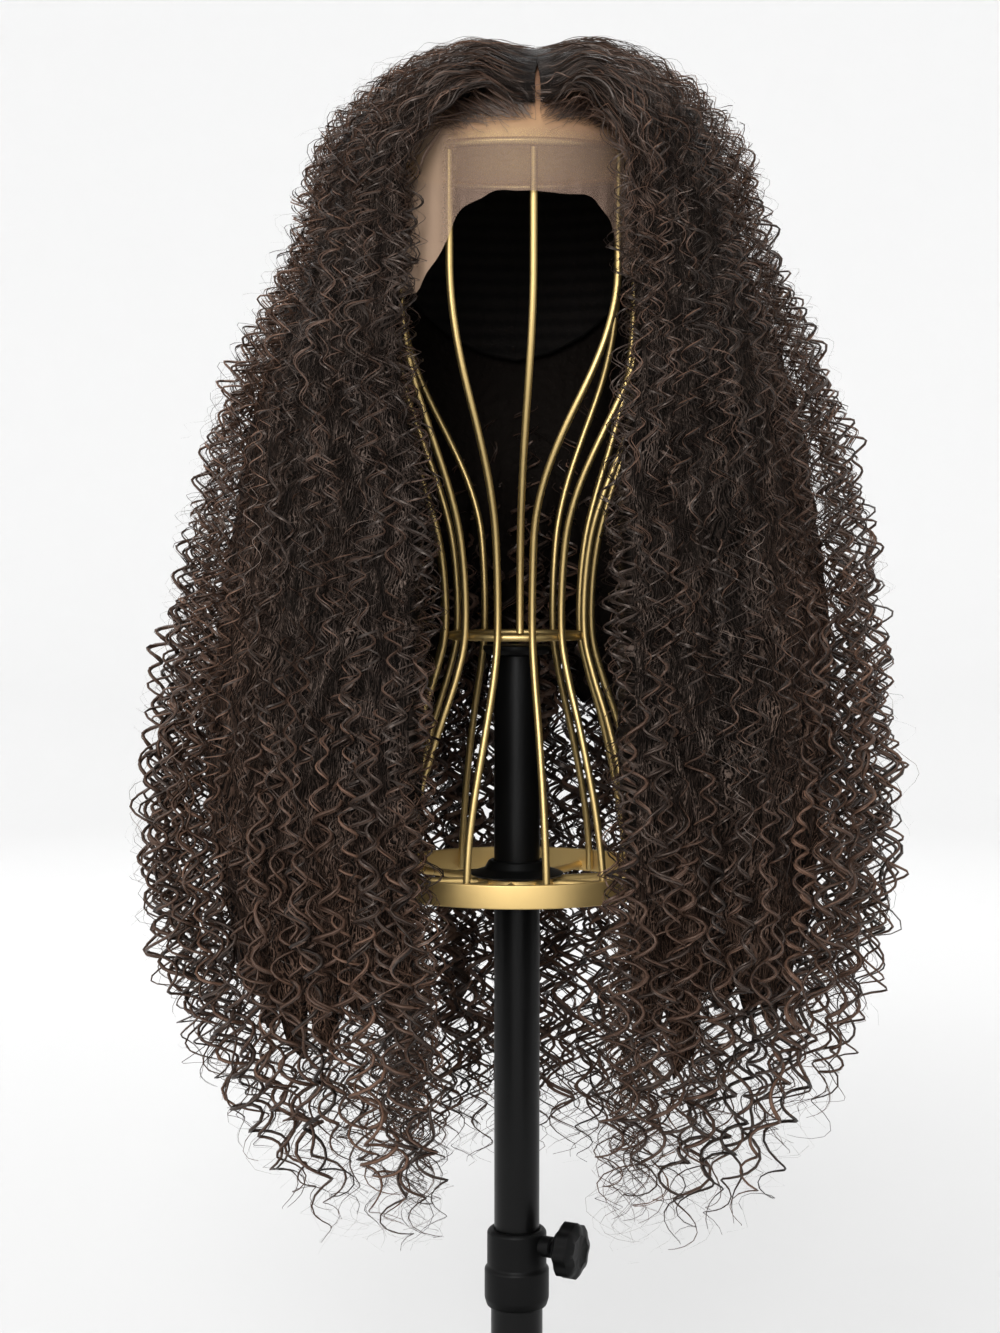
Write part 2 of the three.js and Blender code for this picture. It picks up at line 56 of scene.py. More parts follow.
# Height of the wires and their distance from the pole
WIRE_PROFILE = np.array([
    (842.6, 84), (795, 84), (750, 83), (715, 78.5), (682, 69), (650, 58), (622, 50), (592, 46), (562, 46),
    (538, 52), (508, 62), (468, 72), (430, 78.5), (409, 80),
])
# Angle of each wire at the head, at the neck and at the band
WIRES = [
    (-28, -15, -22), (44, 11, 12), (68, 35, 39), (92, 62, 63), (107, 92, 92), (119, 121, 120),
    (131, 150, 144), (240, 206, 206), (248, 234, 240), (256, 260, 259), (280, 288, 284), (304, 317, 303),
]
FACE_HEAD, FACE_NECK, FACE_INSET = 6, 2, 4.6

# Sizes of the wig, in millimetres
CAP_RADIUS, CAP_RISE, CAP_WALL = 88, 60, 1.5
# Reach of the outer form to each side of the pole at each height
SECTION_Z = np.array([205, 300, 390, 470, 585, 700, 815])
SECTION = {
    "left": np.array([148, 198, 224, 230, 206, 180, 122]),
    "right": np.array([162, 200, 224, 228, 218, 195, 139]),
    "front": np.array([106, 128, 139, 140, 134, 124, 106]),
    "back": np.array([120, 148, 162, 164, 158, 146, 126]),
}
HAIR_SQUARE = 2.3
SHOULDER_Z = 815
PART_X, PART_HALF, PART_FRONT_Y, PART_BACK_Y, WHORL_RADIUS = 11, 1.6, -84.5, 18, 2
CROWN_LIFT, FOREHEAD_LIFT = 12, 15
OPEN_LEFT, OPEN_RIGHT, SIDE_SPLIT = 53, 57, 118
HOLLOW_RADIUS = 94
TIP_FOOT, TIP_SIDE_RISE, TIP_SIDE_POWER = 200, 125, 20


def shader(name, rough, specular):
    """A new material, its nodes and its Principled shader."""
    m = bpy.data.materials.new(name)
    m.use_nodes = True
    p = m.node_tree.nodes["Principled BSDF"]
    p.inputs["Roughness"].default_value = rough
    p.inputs["Specular IOR Level"].default_value = specular
    return m, m.node_tree, p


def node(nt, kind, inputs=None, **settings):
    """A shader node. Each input is a value, or an output of another node that is linked to it."""
    n = nt.nodes.new(f"ShaderNode{kind}")
    for key, value in settings.items():
        setattr(n, key, value)
    for key, value in (inputs or {}).items():
        if isinstance(value, bpy.types.NodeSocket):
            nt.links.new(value, n.inputs[key])
        else:
            n.inputs[key].default_value = value
    return n


def ramp(nt, fac, first, last, *between):
    """The colours of a ramp through stops of (position, colour)."""
    n = node(nt, "ValToRGB", {"Fac": fac})
    stops = n.color_ramp.elements
    for k, (place, colour) in enumerate((first, last)):
        stops[k].position = place
        stops[k].color = (*colour, 1)
    for place, colour in between:
        stops.new(place).color = (*colour, 1)
    return n.outputs["Color"]


def material(name, colour, rough, metal=0.0, specular=0.5, tint=None, bump=None, vary=0.0):
    """A Principled material; bump is (scale, height in mm) and vary how far the roughness wanders."""
    m, nt, p = shader(name, rough, specular)
    p.inputs["Base Color"].default_value = (*colour, 1)
    p.inputs["Metallic"].default_value = metal
    if tint:
        p.inputs["Specular Tint"].default_value = (*tint, 1)
    if bump or vary:
        place = node(nt, "TexCoord").outputs["Object"]
    if bump:
        noise = node(nt, "TexNoise", {"Scale": bump[0], "Detail": 3, "Vector": place})
        b = node(nt, "Bump", {"Strength": 0.6, "Distance": bump[1] * MM, "Height": noise.outputs["Fac"]})
        nt.links.new(b.outputs["Normal"], p.inputs["Normal"])
    if vary:
        cloud = node(nt, "TexNoise", {"Scale": 35, "Vector": place})
        span = node(nt, "MapRange", {
            "To Min": rough - vary, "To Max": rough + vary, "Value": cloud.outputs["Fac"],
        })
        nt.links.new(span.outputs["Result"], p.inputs["Roughness"])
    return m


METAL_GRAIN, METAL_VARY = (900, 0.05), 0.06
gold = material("satin gold", (0.62, 0.45, 0.19), 0.56, metal=1.0, bump=METAL_GRAIN, vary=METAL_VARY)
# The rim is the same gold as the dome, coloured paler: a painted highlight, so it shows as a bright line
# through the lace
rim_gold_painted_highlight = material("satin gold rim painted highlight", (0.80, 0.60, 0.27), 0.34, metal=1.0, bump=METAL_GRAIN,
                    vary=METAL_VARY)
# The wires and the neck ring are the same gold as the band and the dome, coloured darker: painted shade
wire_gold_painted_shade = material("satin gold wire painted shade", (0.45, 0.33, 0.14), 0.45, metal=1.0, bump=METAL_GRAIN,
                     vary=METAL_VARY)
black_tube = material("satin black tube", (0.0022, 0.0022, 0.0022), 0.34, specular=0.14,
                      bump=(1500, 0.03), vary=0.05)
black_plastic = material("black plastic", (0.0028, 0.0028, 0.0028), 0.42, specular=0.09, bump=(1800, 0.06))
cap_mesh = material("cap net", (0.0035, 0.0030, 0.0028), 0.85, specular=0.06, bump=(1400, 0.3))
HAIR_SHINE = (1.0, 0.86, 0.77)


def weft_rows(m):
    """Rows of sewn wefts round the cap, a little lighter than the net between them."""
    nt = m.node_tree
    rows = node(nt, "TexWave", {
        "Scale": 36, "Distortion": 1.5, "Detail Scale": 8, "Vector": node(nt, "TexCoord").outputs["Object"],
    }, bands_direction="Z")
    shade = ramp(nt, rows.outputs["Fac"], (0, (0.0030, 0.0026, 0.0024)), (0.9, (0.0062, 0.0052, 0.0047)))
    nt.links.new(shade, nt.nodes["Principled BSDF"].inputs["Base Color"])


weft_rows(cap_mesh)
# Near black for the inner faces of the depth high up: painted shade where the hair and the cap keep the
# light out
core_painted_shade = material("hair painted shade", (0.0030, 0.0022, 0.0018), 0.7, specular=0.06, tint=HAIR_SHINE,
                     bump=(160, 2.5))
hair_looks = [
    material("hair black", (0.0105, 0.0073, 0.0060), 0.38, specular=0.30, tint=HAIR_SHINE),
    material("hair espresso", (0.0240, 0.0155, 0.0120), 0.40, specular=0.33, tint=HAIR_SHINE),
    material("hair brown", (0.0520, 0.0295, 0.0205), 0.44, specular=0.26, tint=HAIR_SHINE),
    # The warm finish is a warm hair tone that, at the outside and the tips, also stands in for a painted
    # glow of backlight
    material("hair warm", (0.0980, 0.0545, 0.0365), 0.46, specular=0.24, tint=HAIR_SHINE),
    # The ash finish is a painted highlight: pale glints on tufts and wisps
    material("hair ash painted highlight", (0.1450, 0.1100, 0.0930), 0.46, specular=0.40, tint=HAIR_SHINE),
]


def core_material():
    """Fine curling hairs on the depth of the hair; the map gives the way along the locks. The light end of
    the ramps is a painted highlight in tufts, the near-black end painted shade between the hairs. The hair
    is warmer towards the outside of the wig and lower down towards its tips: a painted glow of backlight
    shining through thin hair."""
    m, nt, p = shader("hair depth", 0.55, 0.05)
    p.inputs["Specular Tint"].default_value = (*HAIR_SHINE, 1)
    place = node(nt, "UVMap", uv_map="along").outputs["UV"]
    drawn = node(nt, "Mapping", {"Scale": (1, 0.6, 1), "Vector": place}).outputs["Vector"]
    waves = []
    for scale, distortion, detail_scale in ((120, 16, 0.9), (165, 22, 0.7)):
        wave = node(nt, "TexWave", {
            "Scale": scale, "Distortion": distortion, "Detail": 3, "Detail Scale": detail_scale,
            "Vector": drawn,
        })
        waves.append(wave.outputs["Fac"])
    hairs = node(nt, "Math", {0: waves[0], 1: waves[1]}, operation="MAXIMUM").outputs["Value"]
    cloud = node(nt, "TexNoise", {"Scale": 70, "Vector": drawn}).outputs["Fac"]
    span = node(nt, "MapRange", {"From Min": 0.32, "From Max": 0.68, "To Min": 0.70, "Value": cloud})
    tufts = node(nt, "Math", {0: hairs, 1: span.outputs["Result"]}, operation="MULTIPLY").outputs["Value"]
    # Light ends of both ramps: painted highlights in tufts; dark ends: painted shade between the hairs
    cool = ramp(nt, tufts, (0.50, (0.0016, 0.0012, 0.0010)), (1, (0.100, 0.074, 0.061)),
                (0.80, (0.0150, 0.0106, 0.0086)))
    warm = ramp(nt, tufts, (0.50, (0.0034, 0.0020, 0.0015)), (1, (0.150, 0.086, 0.058)),
                (0.80, (0.0520, 0.0285, 0.0190)))
    # Warmer towards the outside and low down: a painted glow of backlight through thin hair
    split = node(nt, "SeparateXYZ", {"Vector": node(nt, "TexCoord").outputs["Object"]})
    aside = node(nt, "Math", {0: split.outputs["X"]}, operation="ABSOLUTE").outputs["Value"]
    outside = node(nt, "MapRange", {"From Min": 0.13, "From Max": 0.20, "Value": aside}).outputs["Result"]
    height = split.outputs["Z"]
    low = node(nt, "MapRange", {"From Min": 0.50, "From Max": 0.30, "Value": height}).outputs["Result"]
    share = node(nt, "Math", {0: outside, 1: low}, operation="MAXIMUM").outputs["Value"]
    blend = node(nt, "Mix", {"Factor": share, 6: cool, 7: warm}, data_type="RGBA")
    nt.links.new(blend.outputs[2], p.inputs["Base Color"])
    bump = node(nt, "Bump", {"Distance": 1.0 * MM, "Height": tufts})
    nt.links.new(bump.outputs["Normal"], p.inputs["Normal"])
    return m


core_look = core_material()


def piece(name, verts, faces, looks, which=None, nodes=(), slot=None, sharp=None, along=None):
    """A mesh from points in millimetres and faces of equal size, riding the frame. along maps each point."""
    v = np.asarray(verts, np.float32) * MM
    f = np.asarray(faces, np.int32)
    me = bpy.data.meshes.new(name)
    me.vertices.add(len(v))
    me.vertices.foreach_set("co", v.ravel())
    me.loops.add(f.size)
    me.loops.foreach_set("vertex_index", f.ravel())
    me.polygons.add(len(f))
    me.polygons.foreach_set("loop_start", np.arange(0, f.size, f.shape[1], dtype=np.int32))
    for look in looks:
        me.materials.append(look)
    if which is not None:
        me.polygons.foreach_set("material_index", np.asarray(which, np.int32))
    me.update(calc_edges=True)
    if along is not None:
        layer = me.uv_layers.new(name="along")
        layer.data.foreach_set("uv", (np.asarray(along, np.float32)[f.ravel()] * MM).ravel())
    me.shade_smooth()
    if sharp is not None:
        me.set_sharp_from_angle(angle=math.radians(sharp))
    o = bpy.data.objects.new(name, me)
    bpy.context.scene.collection.objects.link(o)
    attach(o, "root")
    if nodes:
        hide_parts(*nodes)
    return o


def grid_faces(rows, columns, start=0, closed=False):
    """Quads of a grid of points, rows by columns, with the last column joined to the first if closed."""
    r, c = np.meshgrid(np.arange(rows - 1), np.arange(columns if closed else columns - 1), indexing="ij")
    n = (c + 1) % columns
    quads = np.stack([r * columns + c, r * columns + n, (r + 1) * columns + n, (r + 1) * columns + c], -1)
    return quads.reshape(-1, 4) + start


def turned(profile, segments):
    """Points and quads of a solid turned about Z from a closed profile of (radius, height)."""
    pr = np.asarray(profile, float)
    a = np.linspace(0, 2 * math.pi, segments, endpoint=False)
    r, z = pr[:, None, 0], np.repeat(pr[:, None, 1], segments, 1)
    v = np.stack([r * np.cos(a), r * np.sin(a), z], -1)
    return v.reshape(-1, 3), grid_faces(len(pr), segments, closed=True)


def tube_mesh(path, radius, sides):
    """Points and quads of a round bar along a path, with its ends drawn in to points."""
    p = np.asarray(path, float)
    t = np.gradient(p, axis=0)
    t /= np.linalg.norm(t, axis=1)[:, None]
    side = np.cross(t, (0, 0, 1.0) if abs(t[0, 2]) < 0.9 else (0.37, 0.93, 0))
    side /= np.linalg.norm(side, axis=1)[:, None]
    up = np.cross(side, t)
    p = np.concatenate([p[:1], p, p[-1:]])
    side = np.concatenate([side[:1], side, side[-1:]])
    up = np.concatenate([up[:1], up, up[-1:]])
    r = np.full(len(p), float(radius))
    r[0] = r[-1] = 0.02
    a = np.linspace(0, 2 * math.pi, sides, endpoint=False)
    ring = np.cos(a)[None, :, None] * side[:, None] + np.sin(a)[None, :, None] * up[:, None]
    v = p[:, None] + ring * r[:, None, None]
    return v.reshape(-1, 3), grid_faces(len(p), sides, closed=True)


def joined(*meshes):
    verts, faces, n = [], [], 0
    for v, f in meshes:
        verts.append(v)
        faces.append(f + n)
        n += len(v)
    return np.concatenate(verts), np.concatenate(faces)


def round_ring(radius, thick, z, sides=16, segments=120):
    a = np.linspace(0, 2 * math.pi, sides + 1)
    return turned(np.stack([radius + thick * np.cos(a), z + thick * np.sin(a)], 1), segments)


def rounded(corners, r, steps=4):
    """A closed profile with each corner cut back by r and rounded; corners on the axis stay sharp."""
    c = np.asarray(corners, float)
    out = []
    for k in range(len(c)):
        before, here, after = c[k - 1], c[k], c[(k + 1) % len(c)]
        a, b = before - here, after - here
        la, lb = np.linalg.norm(a), np.linalg.norm(b)
        cut = min(r, 0.45 * la, 0.45 * lb)
        if here[0] < 0.1 or cut < 0.05:
            out.append(here)
            continue
        p, q = here + a / la * cut, here + b / lb * cut
        for s in np.linspace(0, 1, steps + 1):
            out.append((1 - s) ** 2 * p + 2 * s * (1 - s) * here + s * s * q)
    out.append(out[0])
    return np.array(out)


def at_turn(turn, r, z):
    """A point at an angle in degrees from the front, a distance from the pole and a height."""
    a = np.radians(turn)
    return np.stack(np.broadcast_arrays(r * np.sin(a), -r * np.cos(a), np.asarray(z, float)), -1)


# Stand
AXIS = 0.05
HUB_FOOT = BAND_FOOT + 1 + GAP
HUB_TOP = HUB_FOOT + HUB_THICK
for name, look, slot, profile, edge, segments in [
    ("base_plate", black_tube, "black_tube",
     [(AXIS, 0), (FOOT_RADIUS, 0), (FOOT_RADIUS, FOOT_THICK), (AXIS, FOOT_THICK)], 2, 160),
    ("lower_tube", black_tube, "black_tube",
     [(LOWER_TUBE_BORE, FOOT_THICK), (LOWER_TUBE_RADIUS, FOOT_THICK), (LOWER_TUBE_RADIUS, LOWER_TUBE_TOP),
      (LOWER_TUBE_BORE, LOWER_TUBE_TOP)], 0.4, 64),
    ("pole", black_tube, "black_tube",
     [(POLE_BORE, POLE_FOOT), (POLE_RADIUS, POLE_FOOT), (POLE_RADIUS, POLE_TOP), (POLE_BORE, POLE_TOP)],
     0.4, 64),
    ("pole_plug", black_plastic, "black_plastic",
     [(AXIS, POLE_TOP - PLUG_DEPTH), (PLUG_SHANK, POLE_TOP - PLUG_DEPTH), (PLUG_SHANK, POLE_TOP + GAP),
      (PLUG_RADIUS - 3, POLE_TOP + GAP),
      (PLUG_RADIUS, POLE_TOP + 3.5), (PLUG_RADIUS - 0.6, POLE_TOP + 6), (AXIS, POLE_TOP + 6)], 0.8, 64),
    ("pole_socket", black_plastic, "black_plastic",
     [(SOCKET_BORE, HUB_FOOT - 12), (HUB_RADIUS - 4, HUB_FOOT - 12), (HUB_RADIUS - 1, HUB_FOOT - GAP),
      (SOCKET_SEAT, HUB_FOOT - GAP), (SOCKET_SEAT, HUB_TOP + GAP), (SOCKET_RADIUS - 2, HUB_TOP + GAP),
      (SOCKET_RADIUS, HUB_TOP + 2), (HUB_RADIUS - 4, HUB_TOP + 5), (SOCKET_SEAT, HUB_TOP + 10),
      (SOCKET_BORE, HUB_TOP + 10)], 1.2, 56),
]:
    v, f = turned(rounded(profile, edge), segments)
    piece(name + "_smooth", v, f, [look], nodes=[name], slot=slot, sharp=40)

knob_axis = at_turn(KNOB_TURN, 1.0, 0.0)
knob_side = np.array([-knob_axis[1], knob_axis[0], 0])


def along_knob(sections, lobes=0.0, steps=48):
    """Points and quads of a bar along the knob's axis from (distance, radius) sections, with lobes round."""
    a = np.linspace(0, 2 * math.pi, steps, endpoint=False)
    wave = 1 + lobes * np.cos(KNOB_LOBES * a)
    up = np.array([0, 0, 1.0])
    rows = [
        knob_axis * d + np.array([0, 0, KNOB_Z])
        + (r * wave * np.cos(a))[:, None] * knob_side
        + (r * wave * np.sin(a))[:, None] * up
        for d, r in sections
    ]
    return np.concatenate(rows), grid_faces(len(rows), steps, closed=True)


collar = turned(rounded([
    (COLLAR_TUBE_BORE, COLLAR_FOOT), (COLLAR_RADIUS - 1.5, COLLAR_FOOT), (COLLAR_RADIUS, COLLAR_FOOT + 5),
    (COLLAR_RADIUS, COLLAR_STEP - 2), (COLLAR_RADIUS - 1.6, COLLAR_STEP),
    (COLLAR_RADIUS - 1.6, COLLAR_TOP - 2), (COLLAR_RADIUS - 3.2, COLLAR_TOP),
    (COLLAR_POLE_BORE, COLLAR_TOP), (COLLAR_POLE_BORE, LOWER_TUBE_TOP + GAP),
    (COLLAR_TUBE_BORE, LOWER_TUBE_TOP + GAP),
], 0.9), 60)
boss = along_knob([(16, 0.1), (16, 6.5), (24.2, 6.5), (25, 5.7), (25, 0.1)])
v, f = joined(collar, boss)
piece("collar_smooth", v, f, [black_plastic], nodes=["collar"], slot="black_plastic", sharp=40)
stem = along_knob([(25.3, 0.1), (25.3, 4), (31, 4), (31, 0.1)])
grip = along_knob([
    (30, 0.1), (30, 9), (31.2, KNOB_RADIUS - 3), (33, KNOB_RADIUS - 0.8), (41, KNOB_RADIUS - 0.8),
    (43, KNOB_RADIUS - 3), (44, 10), (43.2, 8.5), (43.2, 0.1),
], lobes=0.045, steps=96)
v, f = joined(stem, grip)
piece("clamp_knob_smooth", v, f, [black_plastic], nodes=["clamp_knob"], slot="black_plastic", sharp=40)

dome_a = np.radians(np.linspace(0.05, 90, 16))


def dome_arc(radius, rise):
    return np.stack([radius * np.sin(dome_a), HOOP_Z + rise * np.cos(dome_a)], 1)


dome = np.concatenate([
    dome_arc(HOOP_RADIUS - DOME_WALL, DOME_RISE - DOME_WALL),
    dome_arc(HOOP_RADIUS, DOME_RISE)[::-1],
])
dome_shell = turned(np.concatenate([dome, dome[:1]]), 96)
dome_rim = round_ring(HOOP_RADIUS, RIM_RADIUS, HOOP_Z)
v, f = joined(dome_shell, dome_rim)
which = np.repeat([0, 1], [len(dome_shell[1]), len(dome_rim[1])])
# The rim ring takes the paler gold, a painted highlight
piece("top_dome_smooth", v, f, [gold, rim_gold_painted_highlight], which, nodes=["top_dome"], slot="gold", sharp=50)
v, f = round_ring(NECK_RING_RADIUS, WIRE_RADIUS, NECK_RING_Z)
piece("neck_ring_smooth", v, f, [wire_gold_painted_shade], nodes=["neck_ring"], slot="gold")

bars = [
    turned(rounded([(BAND_RADIUS - BAND_WALL, BAND_FOOT), (BAND_RADIUS, BAND_FOOT), (BAND_RADIUS, BAND_TOP),
                    (BAND_RADIUS - BAND_WALL, BAND_TOP)], 0.9), 144),
    turned(rounded([(HUB_BORE, HUB_FOOT), (HUB_RADIUS, HUB_FOOT), (HUB_RADIUS, HUB_TOP),
                    (HUB_BORE, HUB_TOP)], 0.8), 72),
]
for k in range(SPOKE_COUNT):
    turn = SPOKE_PHASE + 360 * k / SPOKE_COUNT
    ends = np.linspace(HUB_RADIUS - 3, BAND_RADIUS - 1.5, 5)
    bars.append(tube_mesh(at_turn(turn, ends, HUB_FOOT + SPOKE_RADIUS), SPOKE_RADIUS, 14))
v, f = joined(*bars)
piece("base_ring_smooth", v, f, [gold], nodes=["base_ring"], slot="gold", sharp=40)


def curve_through(points, steps):
    """A smooth path through points, by Catmull-Rom."""
    p = np.asarray(points, float)
    p = np.concatenate([[2 * p[0] - p[1]], p, [2 * p[-1] - p[-2]]])
    out = []
    for k in range(1, len(p) - 2):
        s = np.linspace(0, 1, steps, endpoint=False)[:, None]
        a, b, c, d = p[k - 1:k + 3]
        out.append(0.5 * (2 * b + (c - a) * s + (2 * a - 5 * b + 4 * c - d) * s ** 2
                          + (3 * b - a - 3 * c + d) * s ** 3))
    return np.concatenate(out + [p[-2:-1]])


def smooth_step(x, low, high):
    t = np.clip((np.asarray(x, float) - low) / (high - low), 0, 1)
    return t * t * (3 - 2 * t)


line = curve_through(WIRE_PROFILE, 5)
wire_z, wire_r = line[:, 0], line[:, 1]
for k, (head, neck, foot) in enumerate(WIRES):
    above = neck + (head - neck) * smooth_step(wire_z, 620, 780)
    below = neck + (foot - neck) * smooth_step(NECK_RING_Z - wire_z, 0, 130)
    turn = np.where(wire_z > NECK_RING_Z, above, below)
    v, f = tube_mesh(at_turn(turn, wire_r, wire_z), WIRE_RADIUS, 12)
    piece(f"wire_{k + 1:02d}_smooth", v, f, [wire_gold_painted_shade], nodes=[f"wire_{k + 1:02d}"], slot="gold", sharp=60)

face = wire_z > NECK_RING_Z + WIRE_RADIUS + GAP
face_z = np.append(wire_z[face], NECK_RING_Z + WIRE_RADIUS + GAP)
face_r = np.append(wire_r[face] - FACE_INSET * smooth_step(650 - wire_z[face], 0, 55), NECK_RING_RADIUS)
face_turn = FACE_NECK + (FACE_HEAD - FACE_NECK) * smooth_step(face_z, 620, 780)
v, f = tube_mesh(at_turn(face_turn, face_r, face_z), WIRE_RADIUS, 12)
piece("wire_13_smooth", v, f, [wire_gold_painted_shade], nodes=["wire_13"], slot="gold", sharp=60)

# Cap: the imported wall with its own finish
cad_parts["cap"].data.materials.clear()
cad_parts["cap"].data.materials.append(cap_mesh)

# Lace front: its uncut lower edge as seen from the front, place across and height
LACE_EDGE = np.array([
    (-88, 778), (-70, 760), (-52, 760), (-47, 775), (-41, 786), (-37, 801), (-31, 809), (-19.5, 814),
    (-14, 817.5), (-6, 818), (-2, 817), (8, 817.5), (26, 816), (38, 816.5), (44, 814), (47, 808), (53, 801),
    (55, 790), (60, 772), (75, 764), (88, 778),
])


def soften(values, passes):
    for _ in range(passes):
        values[1:-1] = 0.25 * values[:-2] + 0.5 * values[1:-1] + 0.25 * values[2:]
    return values


lace_turns = np.linspace(-87, 87, 146)
lace_x = CAP_RADIUS * np.sin(np.radians(lace_turns))
lace_low = soften(np.interp(lace_x, LACE_EDGE[:, 0], LACE_EDGE[:, 1]), 2)
LACE_OUT, LACE_TAUT = 0.5, 12
# Angle, width and height of the fold by the right temple and of the flap by the left one
LACE_FOLD, LACE_FLAP = (33, 2.2, 3.0), (-42, 9, 13.0)


def swell(turn, width, height):
    return height * np.exp(-((lace_turns - turn) / width) ** 2)


rows = []
for share in np.linspace(0, 1, 25)[:-1]:
    z = lace_low + (HOOP_Z - lace_low) * share
    slack = np.clip((HOOP_Z - LACE_TAUT - z) / 60, 0, 1)
    ripple = 1.1 * np.sin(lace_turns * 0.55) + 0.7 * np.sin(lace_turns * 1.1 + 1)
    loose = slack * (1.6 + ripple + swell(*LACE_FOLD) + swell(*LACE_FLAP))
    rows.append(at_turn(lace_turns, CAP_RADIUS + LACE_OUT + loose, z))
for a in np.radians(np.linspace(90, 6, 26)):
    rows.append(at_turn(lace_turns, (CAP_RADIUS + LACE_OUT) * math.sin(a),
                        HOOP_Z + (CAP_RISE + LACE_OUT) * math.cos(a)))
lace_grid = np.stack(rows)


def lace_material():
    """Sheer net: a fine lattice of threads that lets through what is behind it. Above the rim of the dome,
    where the hair is knotted in, it is closer and tinted tan, the tint a painted glow of the gold dome
    behind; it is paler and closer where it folds double by the left temple, partly the fold and partly
    painted light on the flap."""
    m, nt, p = shader("sheer lace", 0.75, 0.25)
    place = node(nt, "TexCoord").outputs["Object"]
    net = node(nt, "TexVoronoi", {"Scale": 850, "Vector": place}, feature="DISTANCE_TO_EDGE")
    split = node(nt, "SeparateXYZ", {"Vector": place})
    across, height = split.outputs["X"], split.outputs["Z"]
    # Above the rim the lace is closer, where the hair is knotted in, and tinted tan: a painted glow of the
    # gold dome showing through
    knotted = node(nt, "MapRange", {"From Min": 0.845, "From Max": 0.870, "Value": height}).outputs["Result"]
    tint = ramp(nt, knotted, (0, (0.182, 0.121, 0.090)), (1, (0.205, 0.104, 0.060)),
                (0.55, (0.330, 0.184, 0.100)))
    # Paler where the lace folds double by the left temple: partly the fold, partly painted light lifting the
    # shade the hair curtain casts
    doubled_and_lit = node(nt, "MapRange", {"From Min": -0.034, "From Max": -0.046, "Value": across})
    doubled_and_lit = doubled_and_lit.outputs["Result"]
    blend = node(nt, "Mix", {"Factor": doubled_and_lit, 6: tint, 7: (0.36, 0.245, 0.168, 1)}, data_type="RGBA")
    nt.links.new(blend.outputs[2], p.inputs["Base Color"])
    closed = node(nt, "MapRange", {"From Max": 0.52, "To Min": 0.42, "To Max": 0.76, "Value": knotted})
    layers = node(nt, "MapRange", {"To Max": 0.70, "Value": doubled_and_lit})
    cover = node(nt, "Math", {0: closed.outputs["Result"], 1: layers.outputs["Result"]}, operation="MAXIMUM")
    span = node(nt, "MapRange", {
        "From Min": 0.05, "From Max": 0.32, "To Min": 0.68, "To Max": cover.outputs["Value"],
        "Value": net.outputs["Distance"],
    })
    nt.links.new(span.outputs["Result"], p.inputs["Alpha"])
    return m


lace = piece("lace_front_net", lace_grid.reshape(-1, 3), grid_faces(*lace_grid.shape[:2]), [lace_material()],
             nodes=["lace_front"], slot="lace")

# Hair field
table_z = np.arange(100, 1001, 5.0)
table = {side: soften(np.interp(table_z, SECTION_Z, SECTION[side]), 40) for side in SECTION}


def reach(turn, z):
    """How far the outer form lies from the pole at an angle and heights."""
    s, c = math.sin(math.radians(turn)), math.cos(math.radians(turn))
    across = np.interp(z, table_z, table["left" if s < 0 else "right"])
    deep = np.interp(z, table_z, table["front" if c > 0 else "back"])
    return ((abs(s) / across) ** HAIR_SQUARE + (abs(c) / deep) ** HAIR_SQUARE) ** (-1 / HAIR_SQUARE)


def scalp_z(x, y):
    return HOOP_Z + CAP_RISE * math.sqrt(max(0, 1 - (x * x + y * y) / CAP_RADIUS ** 2))


def root_of(turn):
    """Where hair that falls at an angle leaves the parting or the whorl behind it."""
    t = abs(turn) if abs(turn) <= 180 else 360 - abs(turn)
    a = math.radians(turn)
    if t > SIDE_SPLIT:
        return np.array([PART_X + WHORL_RADIUS * math.sin(a), PART_BACK_Y - WHORL_RADIUS * math.cos(a)])
    share = float(smooth_step(t, 22, SIDE_SPLIT))
    sign = 1 if math.sin(a) >= 0 else -1
    y = PART_FRONT_Y + share * (PART_BACK_Y - PART_FRONT_Y)
    half = PART_HALF * (1 - float(smooth_step(y, -72, -54)))
    return np.array([PART_X + sign * half, y])


def inner_reach(z):
    return 91 + (HOLLOW_RADIUS - 91) * smooth_step(-z, -790, -745)


def off_the_cap(p, clear):
    """Points moved out to stay clear of the cap and of the space for the head and the stand."""
    p = p.copy()
    up = p[:, 2] > HOOP_Z
    r = np.hypot(p[:, 0], p[:, 1])
    grown, rise = CAP_RADIUS + CAP_WALL + clear, CAP_RISE + CAP_WALL + clear
    f = np.sqrt((r / grown) ** 2 + ((p[:, 2] - HOOP_Z) / rise) ** 2)
    inside = up & (f < 1)
    f = np.where(inside, np.maximum(f, 0.05), 1)
    p[:, :2] /= f[:, None]
    p[:, 2] = HOOP_Z + (p[:, 2] - HOOP_Z) / f
    least = np.where(up, 0, inner_reach(p[:, 2]) - 1.6 + clear)
    k = np.where(up, 1, np.maximum(1, least / np.maximum(r, 1)))
    p[:, :2] *= k[:, None]
    return p


